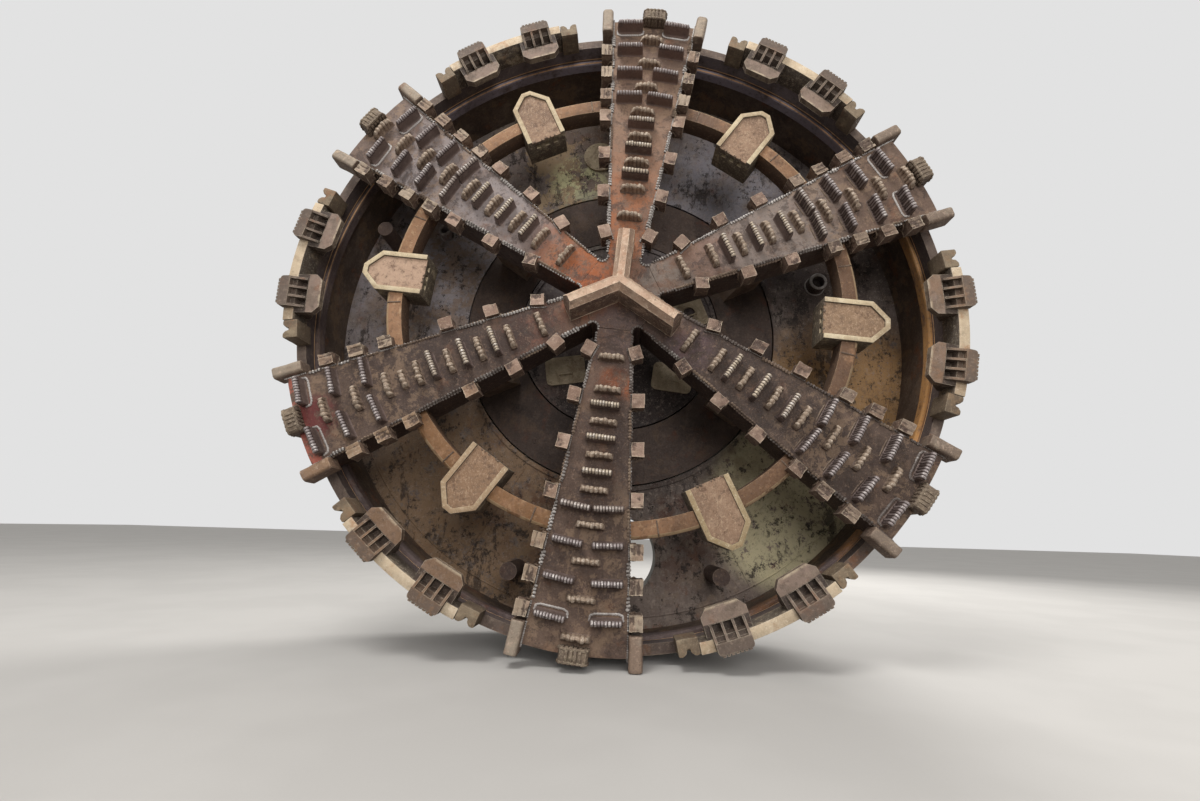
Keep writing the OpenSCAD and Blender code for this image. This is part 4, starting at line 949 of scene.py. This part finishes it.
for k in range(6):
    arc = ring(NOTCH_R + 0.007, 12, 0.002, x=NOTCH_AT, start=96, stop=264)
    silver.add(bead(arc, 0.013, 0.7, 0.024, 50 + k), at(60 * k))
    for m in (-1, 1):
        run = [(NOTCH_AT + dx, m * (NOTCH_R + dy), 0.002) for dx, dy in ((0.012, 0.008), (0.1, 0.06))]
        silver.add(bead(run, 0.013, 0.7, 0.024, 60 + k + m), at(60 * k))
    for m in (-1, 1):
        a = rng.uniform(8, 20)
        bits = ((0.01 - MID_W, 0.002), (-0.03, 0.002), (-0.004, -0.03))
        run = [(MID_R + dx, 0, -MID_FRONT + dz) for dx, dz in bits]
        dusty.add(bead(run, 0.008, 0.4, 0.016, 70 + k + m), at(60 * k + m * a))
piece("weld_beads_silver", silver, BEAD, ROTOR)
piece("weld_beads_dusty", dusty, DUSTY, ROTOR)

lumps = Form()
for i, spoke in enumerate(SPOKES):
    h = EDGE_W / 2 - 0.004
    arch = [(-h, 0.014), (-h, 0.06)] + [(-h + 0.044 - 0.044 * math.cos(t), 0.066 + 0.044 * math.sin(t))
                                        for t in np.linspace(0.2, 1.4, 5)]
    arch += [(-y, z) for y, z in arch[::-1]]
    near, far = EDGE_R, EDGE_R + EDGE_LEN
    for x in (near + 0.006, far - 0.008):
        lumps.add(bead([(x, y, z) for y, z in arch], 0.013, 0.5, 0.036, 80 + i, ref=(1, 0, 0)),
                  at(spoke[0]))
    for j in range(6):
        y = (j - 2.5) * 0.036 + rng.uniform(-0.003, 0.003)
        top = EDGE_H - 0.009 - (0.012 if j in (0, 5) else 0.0)
        run = [(near + 0.009, y, 0.008), (near + 0.009, y + rng.uniform(-0.004, 0.004), top - 0.026),
               (near + 0.017, y, top - 0.008), (near + 0.03, y, top), (far - 0.03, y, top),
               (far - 0.01, y, top - 0.012)]
        rib = bead(run, rng.uniform(0.018, 0.021), 0.22, 0.04, 90 + 6 * i + j, ref=(0, 1, 0))
        lumps.add(rib, at(spoke[0]))
piece("edge_tooth_lumps", lumps, STOUT, ROTOR)

scraps = Form()
for k in range(6):
    for j in range(7):
        y = rng.uniform(-0.15, 0.15)
        run = [(BOX_MOUTH, y, -0.055), (BOX_MOUTH - 0.02 + rng.uniform(0, 0.012),
                                        y + rng.uniform(-0.03, 0.03), -0.05 + rng.uniform(-0.01, 0.006))]
        scraps.add(bead(run, rng.uniform(0.007, 0.012), 0.5, 0.02, 100 + 7 * k + j), at(60 * k))
piece("box_mouth_scraps", scraps, DUSTY, ROTOR)

plugs = Form()
for k in range(24):
    plug = stud(0.030 if k % 3 else 0.042, 0.010, 20, 0.35)
    plugs.add(plug, at(15 * k + rng.uniform(-1, 1), PLUG_R[k % 2], 0, -BULKHEAD + 0.015))
piece("drive_ring_plugs", plugs, DARK, ROTOR)

fixed = Form()
for r0, r1, angles in WALL_WELDS:
    for a in angles:
        path = [(x, rng.uniform(-0.003, 0.003), -BULKHEAD) for x in np.linspace(r0, r1, 8)]
        fixed.add(bead(path, 0.010, 0.3, 0.02, a), at(a, turn=0))
fixed.add(bead(ring(BULKHEAD_R, 240, -BULKHEAD), 0.011, 0.3, 0.022, 5, step=0.011), at(0, turn=0))
piece("bulkhead_welds", fixed, WALL, FIXED)

mouths = Form()
for k, (x, z, r) in enumerate(PORTS):
    lip = bead(ring(r, 40, -BULKHEAD + 0.12, x, z), 0.016, 0.12, 0.03, 200 + k, sides=8)
    mouths.add(lip, at(0, turn=0))
    mouths.add(bead(ring(r + 0.022, 40, -BULKHEAD, x, z), 0.010, 0.3, 0.02, 210 + k), at(0, turn=0))
piece("port_mouths", mouths, COLLAR, FIXED)

fittings = Form()
bolt = stud(0.014, 0.011, 6)
grip = [(-0.06, -0.002), (-0.06, 0.028), (-0.052, 0.038), (0.052, 0.038), (0.06, 0.028), (0.06, -0.002)]
for x, z, w, h, turn in HATCHES:
    place = PLACE @ Matrix.Translation((x, z, HATCH_TOP)) @ Matrix.Rotation(math.radians(turn), 4, "Z")
    spots = [(s * (w / 2 - 0.035), t * (h / 2 - 0.035)) for s in (-1, 1) for t in (-1, 1)]
    for u, v in spots + [(0, h / 2 - 0.03), (0, 0.03 - h / 2)]:
        fittings.add(bolt, place @ Matrix.Translation((u * 0.94, v * 0.94, 0)))
    fittings.add(bead([(u, -0.05, v) for u, v in grip], 0.008, 0.0, 0.02, 1, ref=(0, 1, 0)), place)
bolt_ring(fittings, bolt, 10, 0.155, PLACE @ Matrix.Translation((*ROUND_COVER, HATCH_TOP)), 9)
piece("hatch_fittings", fittings, BEIGE, FIXED)

bolts = Form()
for k in range(8):
    ang = 22.5 + 45 * k
    bolt_ring(bolts, stud(0.017, 0.014, 6), 12, 0.158, behind(ang, COVER_R, HOUSING_REAR + 0.03))
    bolts.add(stud(0.03, 0.012, 6, 0.4), behind(ang, COVER_R, HOUSING_REAR + 0.05))
for n, r in FLANGE_BOLTS:
    for k in range(n):
        bolts.add(stud(0.016, 0.014, 6), behind(360 / n * k, r, HOUSING_REAR))
bolt_ring(bolts, stud(0.014, 0.012, 6), 20, 0.467, behind(270, PORT_R, PORT_REAR))
piece("rear_bolts", bolts, GREY, FIXED)

seams = Form()
for k in range(12):
    for m in (-1, 1):
        for seed, ends in ((120, ((1.735, 0), (2.985, 0))), (150, ((2.99, 0.01), (2.99, 0.43)))):
            run = [(x, m * 0.018, z) for x, z in ends]
            seam = bead(run, 0.010, 0.25, 0.018, seed + 2 * k + m, step=0.012)
            seams.add(seam, behind(15 + 30 * k, 0, BULKHEAD_REAR))
for r, d in ((1.725, BULKHEAD_REAR + 0.001), (0.7, HOUSING_REAR + 0.003)):
    seams.add(bead(ring(r, 120), 0.011, 0.25, 0.02, 180, step=0.014), behind(0, 0, d))
piece("rear_weld_seams", seams, GREY, FIXED)

shell = Form()
for d in (0.512, 1.05, 1.588):
    shell.add(bead(ring(SKIN_R, 240, -d), 0.007, 0.3, 0.02, int(d * 10), step=0.016), at(0, turn=0))
for a in (24, 144, 264):
    run = [(SKIN_R, 0, -0.515), (SKIN_R, 0, -1.585)]
    shell.add(bead(run, 0.007, 0.3, 0.02, a, ref=(1, 0, 0), step=0.01), at(a, turn=0))
piece("skin_weld_seams", shell, SKIN, FIXED)


def shown_rays(tree):
    """1 for the camera's rays and those that metal or glass send on, 0 for the light on the object."""
    path = tree.nodes.new("ShaderNodeLightPath")
    mask = path.outputs["Is Camera Ray"]
    for kind in ("Is Glossy Ray", "Is Transmission Ray"):
        n = tree.nodes.new("ShaderNodeMath")
        n.operation = "MAXIMUM"
        tree.links.new(mask, n.inputs[0])
        tree.links.new(path.outputs[kind], n.inputs[1])
        mask = n.outputs[0]
    return mask


bpy.ops.mesh.primitive_plane_add(size=120, location=(0, 0, cad_box[0][2] - 0.004))
floor = bpy.context.object
floor.name = "floor"
ground = Shade("floor_pale", 0.0, (0.8, 0.95))
shown = shown_rays(ground.nt)
ground.layer((120, 118, 116))
ground.layer((196, 194, 191), 1.0, shown)
ground.layer((200, 198, 195), 1.0, ground.spots(0.4, 0.6, 0.6, 3), shown)
floor.data.materials.append(ground.done())

world = bpy.data.worlds.new("studio")
bpy.context.scene.world = world
world.use_nodes = True
tree = world.node_tree
tree.nodes.clear()
either = tree.nodes.new("ShaderNodeMixShader")
tree.links.new(shown_rays(tree), either.inputs[0])
# the light on the object, and the background that is seen
for i, colour, strength in ((1, (1.0, 0.98, 0.95, 1), 0.5), (2, lin(226, 226, 226), 1.0)):
    n = tree.nodes.new("ShaderNodeBackground")
    n.inputs[0].default_value = colour
    n.inputs[1].default_value = strength
    tree.links.new(n.outputs[0], either.inputs[i])
tree.links.new(either.outputs[0], tree.nodes.new("ShaderNodeOutputWorld").inputs[0])


def lamp(name, place, target, size, power, colour):
    """A round soft lamp that looks at a target."""
    data = bpy.data.lights.new(name, "AREA")
    data.shape = "DISK"
    data.size = size
    data.energy = power
    data.color = colour
    ob = bpy.data.objects.new(name, data)
    bpy.context.scene.collection.objects.link(ob)
    ob.location = place
    ob.rotation_euler = (Vector(target) - Vector(place)).to_track_quat("-Z", "Y").to_euler()


lamp("key", (-4.0, -9.0, 11.0), (0, -1.6, 0), 6.0, 1150, (1.0, 0.98, 0.95))
lamp("front", (2.0, -14.0, 2.5), (0, -1.6, 0), 7.0, 780, (1.0, 0.98, 0.96))
lamp("back", (6.0, 9.0, 7.0), (0, 0, 0), 6.0, 1400, (1.0, 0.98, 0.95))

# the camera stands low before the face, a little left of its middle, and looks up at it
EYE = (-0.0047, -6.1074, -2.0747)
PAN, LIFT, ROLL = 0.03296, 0.23654, 0.02806
cam = bpy.data.cameras.new("camera")
cam.lens = 16.003
cam.sensor_width = 36.0
cam.clip_end = 200
eye = bpy.data.objects.new("camera", cam)
bpy.context.scene.collection.objects.link(eye)
eye.matrix_world = (Matrix.Translation(EYE) @ Matrix.Rotation(PAN, 4, "Z")
                    @ Matrix.Rotation(math.pi / 2 + LIFT, 4, "X") @ Matrix.Rotation(ROLL, 4, "Z"))
bpy.context.scene.camera = eye
bpy.context.scene.view_settings.view_transform = "Standard"
